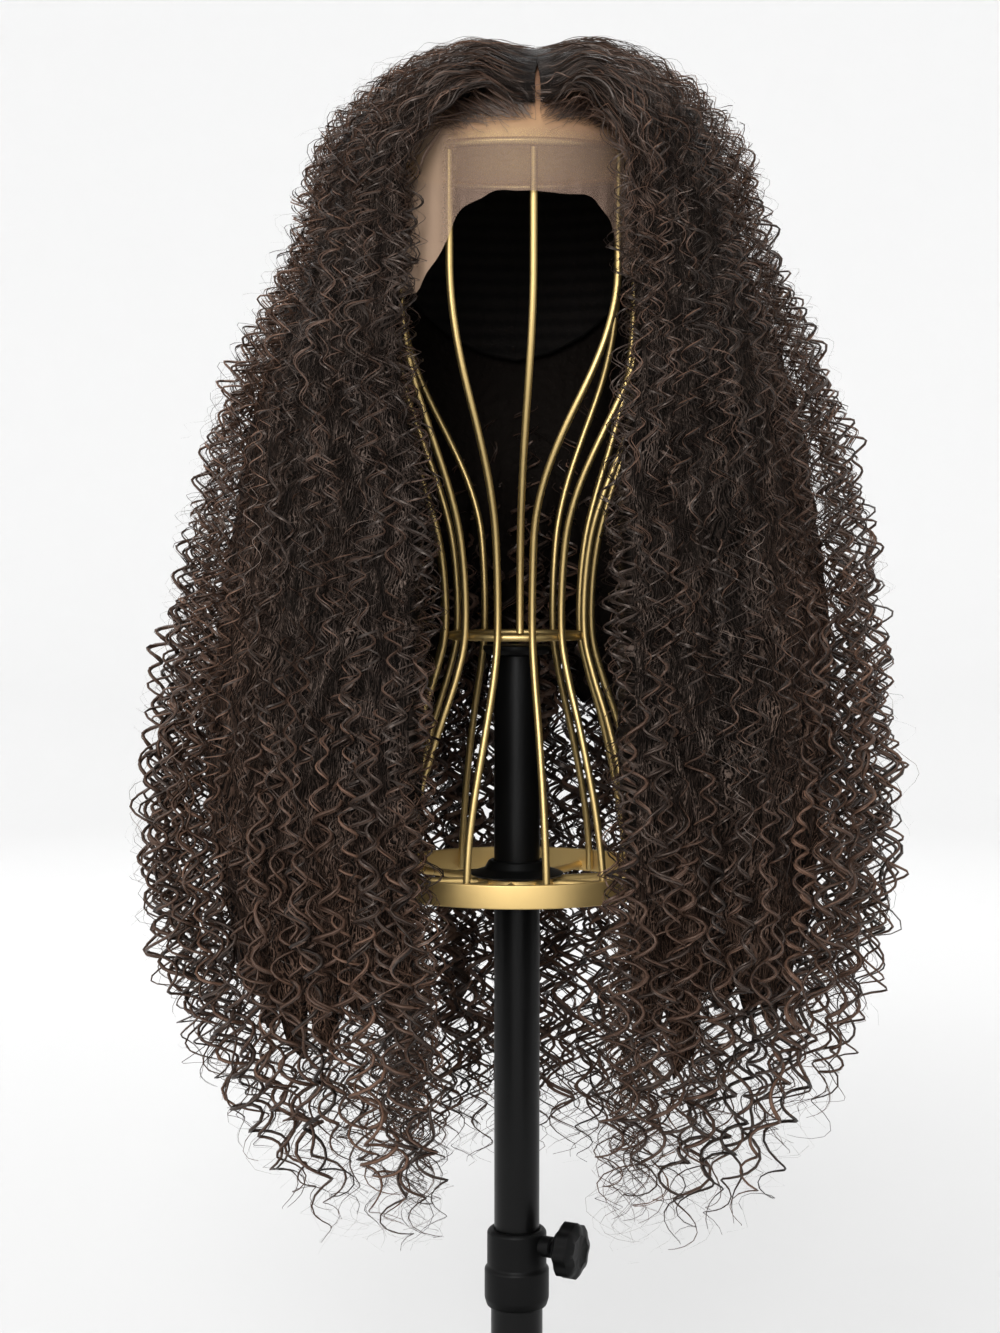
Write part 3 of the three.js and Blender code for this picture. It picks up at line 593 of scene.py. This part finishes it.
def hair_line(turn, deep, foot):
    """Points from the parting over the crown and down to the foot height, at a depth from 0 by the cap to 1
    at the outer form. Hair at the forehead runs further out to the side before it falls."""
    root = root_of(turn)
    out = at_turn(turn, 1.0, 0.0)
    z_fall = np.arange(SHOULDER_Z, foot - 0.1, -8.0)
    inner = inner_reach(z_fall)
    fall = out * (inner + (reach(turn, z_fall) - inner) * deep)[:, None]
    fall[:, 2] = z_fall
    front = float(smooth_step(-root[1], 20, 80))
    a = np.linspace(0, 1, 30) ** 1.4 * math.pi / 2
    power = 1 - 0.40 * float(smooth_step(-root[1], 55, 84))
    start = 0.50 - 0.38 * float(smooth_step(-root[1], 34, 68))
    lift = deep * (CROWN_LIFT + (FOREHEAD_LIFT - CROWN_LIFT) * front)
    lift = lift * (start + (1 - start) * smooth_step(a, 0, 0.30))
    top = scalp_z(*root) + 2 + lift
    crown = np.empty((len(a), 3))
    crown[:, :2] = root + (fall[0, :2] - root) * (np.sin(a) ** power)[:, None]
    crown[:, 2] = SHOULDER_Z + (top - SHOULDER_Z) * np.cos(a) ** power
    return off_the_cap(np.concatenate([crown[:-1], fall]), 1.0)


def open_turn(sign, deep):
    """Angle of the edge of a front curtain at a depth, which stays as far from the middle."""
    r = 92 + (134 - 92) * deep
    return math.degrees(math.asin((OPEN_LEFT if sign < 0 else OPEN_RIGHT) / r))


def side_turn(sign):
    """A function from a share across one side, from the face to behind the ear, and a depth to an angle."""
    t = np.linspace(15, SIDE_SPLIT, 80)
    width = np.cumsum([float(reach(sign * x, 550.0)) for x in t])

    def turn_of(share, deep):
        first = np.interp(open_turn(sign, deep), t, width)
        return sign * float(np.interp(first + (width[-1] - first) * share, width, t))

    return turn_of


def back_turn(share, deep):
    return SIDE_SPLIT + (360 - 2 * SIDE_SPLIT) * share


def tip_foot(turn):
    return TIP_FOOT + TIP_SIDE_RISE * math.sin(math.radians(turn)) ** TIP_SIDE_POWER


def part_curtain(line, turn):
    """The curtain of a side opens wider beside the face and closes a little below the chin."""
    sign = 1 if math.sin(math.radians(turn)) >= 0 else -1
    near = float(smooth_step(-abs(turn), -75, -24))
    wide, narrow = (9, -4) if sign > 0 else (14, -3)
    z = line[:, 2]
    shift = narrow + (wide - narrow) * smooth_step(z, 640, 740)
    shift = shift * smooth_step(-z, -868, -826) * near
    line = line.copy()
    line[:, 0] += sign * shift
    return line


def length_of(line):
    return float(np.linalg.norm(np.diff(line, axis=0), axis=1).sum())


CORE_DEEP, CORE_DEEP_SIDE, SHADE_FOOT = 0.83, 0.74, 460
TOOTH, TOOTH_LEAST, TOOTH_MOST = np.array([0, 0.8, 1, 0.8]), 10, 58


def core(name, turn_of, end_of, node):
    """The dark depth of the hair: a thick curtain with a ragged foot, seen between the locks."""
    columns, n = 52, 60
    outer, inner = np.empty((n, columns, 3)), np.empty((n, columns, 3))
    wob = rng.uniform(0, 6.28, (2, columns))
    tooth_count = columns // len(TOOTH)
    drops = rng.uniform(TOOTH_LEAST, TOOTH_MOST, tooth_count)
    teeth = np.repeat(drops, len(TOOTH)) * np.tile(TOOTH, tooth_count)
    row = np.arange(n)
    for c in range(columns):
        share = 0.02 + 0.98 * c / (columns - 1) if name != "hair_back_depth" else c / (columns - 1)
        turn_out, turn_in = turn_of(share, CORE_DEEP), turn_of(share, 0.05)
        aside = float(smooth_step(abs(math.sin(math.radians(turn_out))), 0.86, 0.99))
        deep_out = CORE_DEEP + (CORE_DEEP_SIDE - CORE_DEEP) * aside
        foot = end_of(turn_out) + 15 - teeth[c]
        for grid, turn, deep in ((outer, turn_out, deep_out), (inner, turn_in, 0.03)):
            line = hair_line(turn, deep, foot)
            if name != "hair_back_depth":
                line = part_curtain(line, turn)
            at = np.concatenate([[0], np.cumsum(np.linalg.norm(np.diff(line, axis=0), axis=1))])
            for k in range(3):
                grid[:, c, k] = np.interp(np.linspace(0, at[-1], n), at, line[:, k])
        inward = min(1.0, c / 4, (columns - 1 - c) / 4)
        bumps = inward * (2.4 * np.sin(row * 1.9 + wob[0, c]) + 1.8 * np.sin(row * 0.8 + wob[1, c]))
        outer[:, c] += at_turn(turn_out, 1.0, 0.0) * (bumps * smooth_step(row, 8, 30))[:, None]
        thin = smooth_step(-outer[:, c, 2], -(foot + 150), -foot)[:, None]
        middle = 0.15 * inner[:, c] + 0.85 * outer[:, c]
        outer[:, c] += (middle - outer[:, c]) * thin * 0.95
        inner[:, c] += (middle - inner[:, c]) * thin * 0.95
    v = np.concatenate([outer.reshape(-1, 3), inner.reshape(-1, 3)])
    across = np.linalg.norm(np.diff(outer[n // 2], axis=0), axis=1).cumsum()
    down = np.linalg.norm(np.diff(outer[:, columns // 2], axis=0), axis=1).cumsum()
    along = np.stack(np.meshgrid(np.append(0, across), np.append(0, down)), -1).reshape(-1, 2)
    k = n * columns
    faces = [grid_faces(n, columns)[:, ::-1], grid_faces(n, columns, k)]
    idx = np.arange(k).reshape(n, columns)
    for rim in (idx[0], idx[:, -1], idx[-1, ::-1], idx[::-1, 0]):
        faces.append(np.stack([rim[:-1], rim[1:], rim[1:] + k, rim[:-1] + k], 1))
    shaded = np.repeat([0, 1, 0], [len(faces[0]), len(faces[1]), sum(len(x) for x in faces[2:])])
    f = np.concatenate(faces)
    # Inner faces above SHADE_FOOT take the near-black finish, painted shade
    which = shaded * (v[f[:, 0], 2] > SHADE_FOOT)
    piece(name, v, f, [core_look, core_painted_shade], which, [node], "hair",
          along=np.concatenate([along, along]))


class Strands:
    """Ribbons and cords along curling paths, gathered into one mesh."""

    def __init__(self):
        self.verts, self.faces, self.which, self.count = [], [], [], 0

    def add(self, points, width, looks, facing, twist):
        t = np.gradient(points, axis=0)
        t /= np.linalg.norm(t, axis=1)[:, None] + 1e-9
        e1 = np.cross(t, facing)
        e1 /= np.linalg.norm(e1, axis=1)[:, None] + 1e-9
        e2 = np.cross(t, e1)
        b = (np.cos(twist)[:, None] * e1 + np.sin(twist)[:, None] * e2) * (0.5 * width)[:, None]
        n = len(points)
        self.verts.append(np.stack([points - b, points + b], 1).reshape(-1, 3))
        i = np.arange(n - 1) * 2 + self.count
        self.faces.append(np.stack([i, i + 1, i + 3, i + 2], 1))
        self.which.append(np.broadcast_to(looks, n)[:-1])
        self.count += 2 * n

    def rope(self, points, width, looks):
        """A solid three-sided cord along the points, where strands cling together."""
        t = np.gradient(points, axis=0)
        t /= np.linalg.norm(t, axis=1)[:, None] + 1e-9
        e1 = np.cross(t, (0.31, 0.95, 0.0))
        e1 /= np.linalg.norm(e1, axis=1)[:, None] + 1e-9
        e2 = np.cross(t, e1)
        n = len(points)
        a = np.radians([90, 210, 330])
        ring = np.cos(a)[None, :, None] * e1[:, None] + np.sin(a)[None, :, None] * e2[:, None]
        self.verts.append((points[:, None] + ring * (0.5 * width)[:, None, None]).reshape(-1, 3))
        self.faces.append(grid_faces(n, 3, self.count, closed=True))
        self.which.append(np.repeat(np.broadcast_to(looks, n)[:-1], 3))
        self.count += 3 * n

    def make(self, name, node):
        v, f = np.concatenate(self.verts), np.concatenate(self.faces)
        piece(name, v, f, hair_looks, np.concatenate(self.which), [node], "hair")


PER_TURN_FINE, PER_TURN_ROPE = 7, 9
# Curls open out over the last stretch of a lock, and a length past any tip runs to the tip
HANG_FROM, HANG_TO, TO_TIP = 260, 40, 2000.0
SIDE_LIMIT, FRONT_LIMIT, BACK_LIMIT = 232, 146, 168


def held_in(p):
    """Flyaway ends bend back before they leave the reach of the hair."""
    p = p.copy()
    for axis, low, high in ((0, -SIDE_LIMIT, SIDE_LIMIT), (1, -FRONT_LIMIT, BACK_LIMIT)):
        x = p[:, axis]
        x = np.where(x > high, high + 9 * np.tanh((x - high) / 9), x)
        p[:, axis] = np.where(x < low, low - 9 * np.tanh((low - x) / 9), x)
    return p


def curl(strands, line, start, end, guide, width, looks, offset=(0.0, 0.0), phase=0.0, scale=1.0, loose=0.0,
         rope=False):
    """One strand: a spiral round a line between two lengths along it. guide holds what the strands of a lock
    share, and looks is the finish of the strand and of its end."""
    s = np.concatenate([[0], np.cumsum(np.linalg.norm(np.diff(line, axis=0), axis=1))])
    start, end = max(0.0, start), min(end, s[-1])
    if end - start < 6:
        return
    w = guide["wob"]
    fine = np.arange(0, s[-1] + 1, 1.5)
    low = smooth_step(fine, s[-1] - HANG_FROM, s[-1] - HANG_TO)
    pitch = guide["pitch"] * (1 + 0.5 * (1 - smooth_step(fine, 30, 150)) + 0.60 * low)
    pitch = pitch * (1 + 0.18 * np.sin(fine / 31 + w[0]) + 0.20 * np.sin(fine / 11 + w[6]))
    turns = np.cumsum(1.5 / pitch)
    n0, n1 = np.interp([start, end], fine, turns)
    steps = PER_TURN_ROPE if rope else guide["steps"] if width > 0.5 else PER_TURN_FINE
    ticks = np.arange(n0, n1, 1 / steps)
    at = np.interp(ticks, turns, fine)
    p = np.stack([np.interp(at, s, line[:, k]) for k in range(3)], 1)
    t = np.gradient(p, axis=0)
    t /= np.linalg.norm(t, axis=1)[:, None] + 1e-9
    aside = np.broadcast_to(guide["aside"], p.shape)
    out = np.cross(t, aside)
    out /= np.linalg.norm(out, axis=1)[:, None] + 1e-9
    hang = smooth_step(at, s[-1] - HANG_FROM, s[-1] - HANG_TO)
    grow = 0.06 + 0.94 * smooth_step(at, 4, 130)
    amp = guide["radius"] * grow * (1 + 0.18 * np.sin(at / 33 + w[1]) + 0.24 * np.sin(at / 8 + w[7]))
    amp = amp * (1 + (scale - 1) * (1 - hang)) * (1 + 0.70 * hang)
    theta = 2 * math.pi * guide["hand"] * ticks + guide["phase"] + phase * (1 - 0.75 * hang)
    drift = smooth_step(at, 40, 200)
    sway = drift * (4.6 * np.sin(at / 39 + w[2]) + 3.8 * np.sin(at / 11.5 + w[3]))
    sink = drift * (2.6 * np.sin(at / 35 + w[4]) + 3.8 * np.sin(at / 10.3 + w[5]))
    spread = smooth_step(at, 0, 50) * (1.4 - (1.4 - guide["tight"]) * smooth_step(at, 90, s[-1] - 200))
    sway = sway + offset[0] * spread
    sink = sink + offset[1] * 0.7 * spread + loose * smooth_step(at, start, end) ** 2
    p = p + aside * (amp * np.cos(theta) + sway)[:, None]
    p = p + out * (-0.85 * amp * np.sin(theta) - sink)[:, None]
    p = off_the_cap(held_in(p), 0.4)
    taper = 0.25 + 0.75 * smooth_step(at, start, start + 25)
    taper = taper + guide["thick"] * smooth_step(at, s[-1] - 460, s[-1] - 300)
    taper = taper * (0.12 + 0.88 * smooth_step(-at, -end, -(end - 60)))
    look = np.where(at > end - guide["tip"], looks[1], looks[0])
    if rope:
        strands.rope(p, width * taper, look)
    else:
        strands.add(p, width * taper, look, out, guide["twist"] + phase + at * (0.05 * guide["spin"]))


def guide_for(turn, pitch, radius, tight=0.3, thick=0.0, steps=8):
    a = math.radians(turn)
    return {
        "aside": np.array([math.cos(a), math.sin(a), 0.0]),
        "pitch": pitch,
        "radius": radius,
        "tight": tight,
        "thick": thick,
        "steps": steps,
        "hand": rng.choice([-1, 1]),
        "phase": rng.uniform(0, 6.28),
        "wob": rng.uniform(0, 6.28, 8),
        "twist": rng.uniform(0, 6.28),
        "spin": rng.uniform(-1, 1),
        "tip": rng.uniform(120, 330),
    }


# Shares of the five finishes of hair, from black to ash, the ash a painted highlight; the warmer shares at
# the outside and at the tips are a painted glow of backlight through thin hair
BODY_MIX, OUTSIDE_GLOW_MIX = np.array([0.26, 0.44, 0.26, 0.04, 0.0]), np.array([0.04, 0.20, 0.44, 0.32, 0.0])
TIP_MIX, ROOT_MIX = [0.05, 0.33, 0.47, 0.15, 0.0], [0.22, 0.42, 0.28, 0.08, 0.0]
# Tufts and wisps take the ash finish in part, a painted highlight
TUFT_MIX, WISP_MIX = [0.08, 0.24, 0.26, 0.10, 0.32], [0.06, 0.30, 0.32, 0.16, 0.16]
END_MIX, BABY_MIX = [0.1, 0.4, 0.38, 0.12, 0.0], [0.5, 0.35, 0.15]


def finish_for(turn):
    """The finishes of a strand and of its end: warmer at the outside of the wig and at the tips, a painted
    glow of backlight shining through the thin hair there.
    """
    outside = float(smooth_step(abs(math.sin(math.radians(turn))), 0.82, 1.0))
    body = rng.choice(5, p=BODY_MIX * (1 - outside) + OUTSIDE_GLOW_MIX * outside)
    tip = rng.choice(5, p=TIP_MIX)
    return body, tip


def hairline_z(x):
    """Height of the hairline across the forehead, lower towards the temples."""
    half = 50 if x < PART_X else 44
    return 860 - 9 * (abs(x - PART_X) / half) ** 2.5


def cap_front(x, z):
    """How far forward the lace stands at a place across and a height, above the rim of the dome."""
    rise = (z - HOOP_Z) / (CAP_RISE + CAP_WALL)
    return math.sqrt(max((CAP_RADIUS + CAP_WALL) ** 2 * (1 - rise * rise) - x * x, 900))


def hair_side(name, node, turn_of, end_of, counts, inner_from):
    """One side of the hair, or its back: the depth, locks over it, strands inside it, and flyaways."""
    core(f"{name}_depth", turn_of, end_of, node)
    locks, inside, wisps = Strands(), Strands(), Strands()
    sided = node != "hair_back"
    sign = -1 if node == "hair_left" else 1

    def line_for(turn, deep, foot):
        line = hair_line(turn, deep, foot)
        closed = float(smooth_step(line[0, 1], -70, -52))
        stray = rng.normal(0, 2.6) * closed
        line[:, 0] += stray * smooth_step(-np.arange(len(line)), -16, 0)
        return part_curtain(line, turn) if sided else line

    def lock(strands, line, turn, count, start, tight, end=TO_TIP, thick=0.2, rope=0.0, steps=8, slim=1.0):
        g = guide_for(turn, rng.uniform(14.5, 19.5), rng.uniform(3.6, 5.6), tight, thick, steps)
        total = min(end, length_of(line))
        if rope:
            curl(strands, line, total - rope, total, g, rng.uniform(1.5, 2.3), finish_for(turn), rope=True)
        for j in range(count):
            fine = j % 3 == 2
            width = rng.uniform(0.32, 0.5) if fine else slim * rng.uniform(0.55, 0.9)
            curl(strands, line, start + rng.uniform(0, 12), total - rng.uniform(0, 40) * (j > 0), g, width,
                 finish_for(turn), rng.normal(0, 2.4 if fine else 1.3, 2), rng.normal(0, 0.40),
                 rng.uniform(0.8, 1.25))

    for k in range(counts["locks"]):
        deep = rng.uniform(0.84, 0.98) if rng.random() < 0.8 else rng.uniform(0.97, 1.03)
        turn = turn_of(np.clip((k + rng.uniform(0.05, 0.95)) / counts["locks"], 0, 1), deep)
        if abs(math.sin(math.radians(turn))) > 0.93 and k % 3 == 0:
            deep = rng.uniform(0.74, 0.88)
        line = line_for(turn, deep, tip_foot(turn) + abs(rng.normal(0, 30)))
        lock(locks, line, turn, counts["in_lock"], 0, rng.uniform(0.15, 0.45), rope=rng.uniform(190, 300),
             steps=counts["steps"])
    for k in range(counts["outer"]):
        deep = rng.uniform(0.88, 1.0)
        turn = sign * rng.uniform(68, 112) if sided else rng.uniform(125, 235)
        line = line_for(turn, deep, tip_foot(turn) + abs(rng.normal(0, 30)))
        g = guide_for(turn, rng.uniform(16, 19.5), rng.uniform(5.5, 7.5))
        begin = rng.uniform(110, 260) if sided else rng.uniform(260, 420)
        curl(locks, line, begin, TO_TIP, g, rng.uniform(1.3, 2.0), finish_for(turn), rope=True)
    for k in range(counts["edge"]):
        deep = rng.uniform(0.02, 0.80)
        turn = turn_of(0.10 * rng.random() ** 2, deep)
        line = line_for(turn, deep, tip_foot(turn) + abs(rng.normal(0, 34)) + 5)
        lock(inside, line, turn, 3, 40 + 60 * rng.random() ** 1.5, rng.uniform(0.2, 0.6))
    for k in range(counts["inside"]):
        deep = rng.uniform(0.05, 0.85)
        turn = turn_of(rng.random() if sided else np.clip(rng.normal(0.5, 0.2), 0, 1), deep)
        foot = tip_foot(turn) + abs(rng.normal(0, 45))
        line = line_for(turn, deep, foot)
        lock(inside, line, turn, 3, length_of(line) - (inner_from - foot), rng.uniform(0.15, 0.5),
             thick=0.3 if sided else 1.9)
    for k in range(counts["hairline"]):
        deep = rng.uniform(0.10, 0.95)
        turn = turn_of(0.30 * rng.random(), deep)
        line = line_for(turn, deep, 560)
        x = PART_X + sign * (1.5 + (50 if sign < 0 else 45) * (k + rng.random()) / counts["hairline"])
        z = hairline_z(x) + rng.normal(0, 1.2) + 7 * rng.random() ** 3
        root = np.array([x, -cap_front(x, z) - 0.6, z])
        ahead = np.argmax(sign * (line[:, 0] - x) > rng.uniform(14, 34))
        way = np.array([root, root + np.array([sign * 4.0, -1.8, 1.2]), line[ahead]])
        path = np.concatenate([curve_through(way, 6)[:-1], line[ahead:]])
        lock(inside, path, turn, 5, 0, 0.7, rng.uniform(80, 190), slim=0.6)
    for k in range(counts["roots"]):
        deep = rng.uniform(0.80, 0.98)
        turn = turn_of(0.9 * rng.random(), deep)
        line = line_for(turn, deep, 640)
        g = guide_for(turn, rng.uniform(15, 20), rng.uniform(3.0, 5.5), 0.8)
        look = rng.choice(5, p=ROOT_MIX)
        for j in range(3):
            curl(wisps, line, rng.uniform(0, 10), rng.uniform(60, 130), g,
                 rng.uniform(0.32, 0.48) * (1 - 0.3 * (j == 2)), (look, look), rng.normal(0, 2.2, 2),
                 rng.normal(0, 0.3), rng.uniform(0.8, 1.2), -rng.uniform(1, 7) * (j == 2))
    for k in range(counts["tufts"]):
        deep = rng.uniform(0.86, 1.0)
        turn = turn_of(rng.random(), deep)
        line = line_for(turn, deep, tip_foot(turn) + 90)
        begin = (0.04 + 0.90 * rng.random()) * length_of(line)
        g = guide_for(turn, rng.uniform(14, 22), rng.uniform(4.0, 7.0), 1.0)
        look = rng.choice(5, p=TUFT_MIX)
        for j in range(5):
            ahead = begin + 0.8 * j + rng.uniform(0, 3)
            curl(wisps, line, ahead, ahead + rng.uniform(10, 20), g, rng.uniform(0.28, 0.45), (look, look),
                 rng.normal(0, 0.9, 2), rng.normal(0, 0.15), rng.uniform(0.85, 1.2))
    for k in range(counts["wisps"]):
        deep = rng.uniform(0.88, 1.02)
        turn = turn_of(rng.random(), deep)
        line = line_for(turn, deep, tip_foot(turn) + rng.uniform(20, 90))
        begin = rng.uniform(0.02, 0.9) * length_of(line)
        g = guide_for(turn, rng.uniform(13, 24), rng.uniform(3.0, 7.5))
        looks = rng.choice(5, 2, p=WISP_MIX)
        curl(wisps, line, begin, begin + rng.uniform(30, 100), g, rng.uniform(0.24, 0.36), looks,
             loose=-rng.uniform(0, 12))
    for k in range(counts["ends"]):
        deep = rng.uniform(0.2, 1.0)
        turn = turn_of(rng.random(), deep)
        line = line_for(turn, deep, tip_foot(turn) - rng.uniform(-30, 4))
        g = guide_for(turn, rng.uniform(17, 24), rng.uniform(5.0, 8.5))
        begin = length_of(line) - rng.uniform(60, 220)
        curl(wisps, line, begin, TO_TIP, g, rng.uniform(0.24, 0.36), rng.choice(5, 2, p=END_MIX))
    if sided:
        baby_hair(wisps, sign)
    locks.make(f"{name}_locks", node)
    inside.make(f"{name}_inner", node)
    wisps.make(f"{name}_wisps", node)


BABY_HAIRS = 260


def baby_hair(strands, sign):
    """Short fine hairs knotted into the lace along the hairline, combed up and away from the parting."""
    for k in range(BABY_HAIRS):
        x = PART_X + sign * (1 + 46 * rng.random() ** 0.9)
        z = 861 + rng.normal(0, 3.0) - 5 * (abs(x - PART_X) / 46) ** 3
        n = 7
        along = np.linspace(0, rng.uniform(14, 34), n)
        lean = rng.normal(0.9, 0.35)
        wave = rng.uniform(0.2, 1.2) * np.sin(along / rng.uniform(2.5, 5) + rng.uniform(0, 6.28))
        px = x + sign * along * math.sin(lean) * 0.9 + wave
        pz = np.clip(z + along * math.cos(lean) * 0.9, 850, 900)
        share = np.clip(1 - ((pz - HOOP_Z) / (CAP_RISE + 2)) ** 2, 0.05, 1)
        flat = np.sqrt(np.maximum((CAP_RADIUS + 2) ** 2 * share - px ** 2, 900))
        rise = 0.2 + 2.6 * (along / along[-1]) ** 1.5
        p = np.stack([px, -(flat + rise), pz], 1)
        width = rng.uniform(0.2, 0.32) * (1 - 0.7 * along / along[-1])
        look = rng.choice([0, 1, 2], p=BABY_MIX)
        strands.add(p, width, look, np.array([[0, -1.0, 0]] * n), np.zeros(n))


SIDE_COUNTS = {
    "locks": 52, "steps": 11, "in_lock": 3, "outer": 12, "edge": 18, "inside": 43, "hairline": 48,
    "roots": 108, "tufts": 890, "wisps": 330, "ends": 105,
}
BACK_COUNTS = {
    "locks": 40, "steps": 9, "in_lock": 3, "outer": 22, "edge": 0, "inside": 76, "hairline": 0,
    "roots": 40, "tufts": 360, "wisps": 180, "ends": 60,
}


def side_end(turn):
    return max(350, tip_foot(turn) + 95)


hair_side("hair_left", "hair_left", side_turn(-1), side_end, SIDE_COUNTS, 470)
hair_side("hair_right", "hair_right", side_turn(1), side_end, SIDE_COUNTS, 470)


def back_end(turn):
    """The depth of the back hair ends higher at the middle, so light shows between the locks there."""
    return 385 + 145 * (1 - float(smooth_step(abs(math.sin(math.radians(turn))), 0.25, 0.80)))


hair_side("hair_back", "hair_back", back_turn, back_end, BACK_COUNTS, 720)

# Light, floor and camera
BOWL_FLAT, BOWL_CURVE, BOWL_TOP = 3600, 1600, 5000
bowl = bpy.data.meshes.new("studio")
curve = np.radians(np.linspace(0, 90, 16))
bend = np.stack([BOWL_FLAT + BOWL_CURVE * np.sin(curve), BOWL_CURVE - BOWL_CURVE * np.cos(curve)], 1)
profile = np.concatenate([[(0.01, 0)], bend, [(BOWL_FLAT + BOWL_CURVE, BOWL_TOP)]])
v, f = turned(profile, 96)
bowl.from_pydata((v * MM).tolist(), [], f.tolist())
bowl.shade_smooth()
# The floor is coloured darker near the stand and paler far off: painted shade
FLOOR_NEAR_PAINTED_SHADE, FLOOR_FAR, FLOOR_REACH = (0.54, 0.54, 0.54), (0.87, 0.87, 0.87), 5.0
floor_look, nt, floor_p = shader("pale floor painted shade", 0.9, 0.1)
place = node(nt, "TexCoord").outputs["Object"]
away = node(nt, "VectorMath", {0: place}, operation="LENGTH").outputs["Value"]
rise = node(nt, "MapRange", {"From Max": FLOOR_REACH, "Value": away}, interpolation_type="SMOOTHSTEP")
shade = ramp(nt, rise.outputs["Result"], (0, FLOOR_NEAR_PAINTED_SHADE), (1, FLOOR_FAR))
nt.links.new(shade, floor_p.inputs["Base Color"])
bowl.materials.append(floor_look)
floor = bpy.data.objects.new("studio", bowl)
bpy.context.scene.collection.objects.link(floor)

world = bpy.data.worlds.new("studio light")
bpy.context.scene.world = world
world.use_nodes = True
world.node_tree.nodes["Background"].inputs["Color"].default_value = (1, 1, 1, 1)
world.node_tree.nodes["Background"].inputs["Strength"].default_value = 1.0


def lamp(name, place, aim, size, power):
    light = bpy.data.lights.new(name, "AREA")
    light.shape = "RECTANGLE"
    light.size, light.size_y = size
    light.energy = power
    o = bpy.data.objects.new(name, light)
    o.location = place
    d = [aim[k] - place[k] for k in range(3)]
    yaw = math.atan2(d[1], d[0]) - math.pi / 2
    pitch = math.atan2(d[2], math.hypot(d[0], d[1]))
    o.rotation_euler = (math.pi / 2 + pitch, 0, yaw)
    o.visible_camera = False
    bpy.context.scene.collection.objects.link(o)


lamp("key", (-0.45, -2.4, 1.7), (0, 0, 0.62), (1.3, 1.3), 70)
lamp("side", (-2.2, -1.2, 1.5), (0, 0, 0.6), (1.2, 1.6), 26)
lamp("fill", (1.8, -1.6, 1.1), (0, 0, 0.55), (1.4, 1.6), 7)
lamp("back", (0.0, 2.4, 2.6), (0, 0, 0.7), (2.2, 1.2), 50)

cam = bpy.data.objects.new("camera", bpy.data.cameras.new("camera"))
bpy.context.scene.collection.objects.link(cam)
CAMERA_PLACE, CAMERA_DOWN, CAMERA_LENS, CAMERA_SENSOR = (-0.0104, -1.4, 0.62), 3.155, 62, 36
cam.location = CAMERA_PLACE
cam.rotation_euler = (math.radians(90 - CAMERA_DOWN), 0, 0)
cam.data.lens = CAMERA_LENS
cam.data.sensor_width = CAMERA_SENSOR
bpy.context.scene.camera = cam
bpy.context.scene.view_settings.view_transform = "Standard"
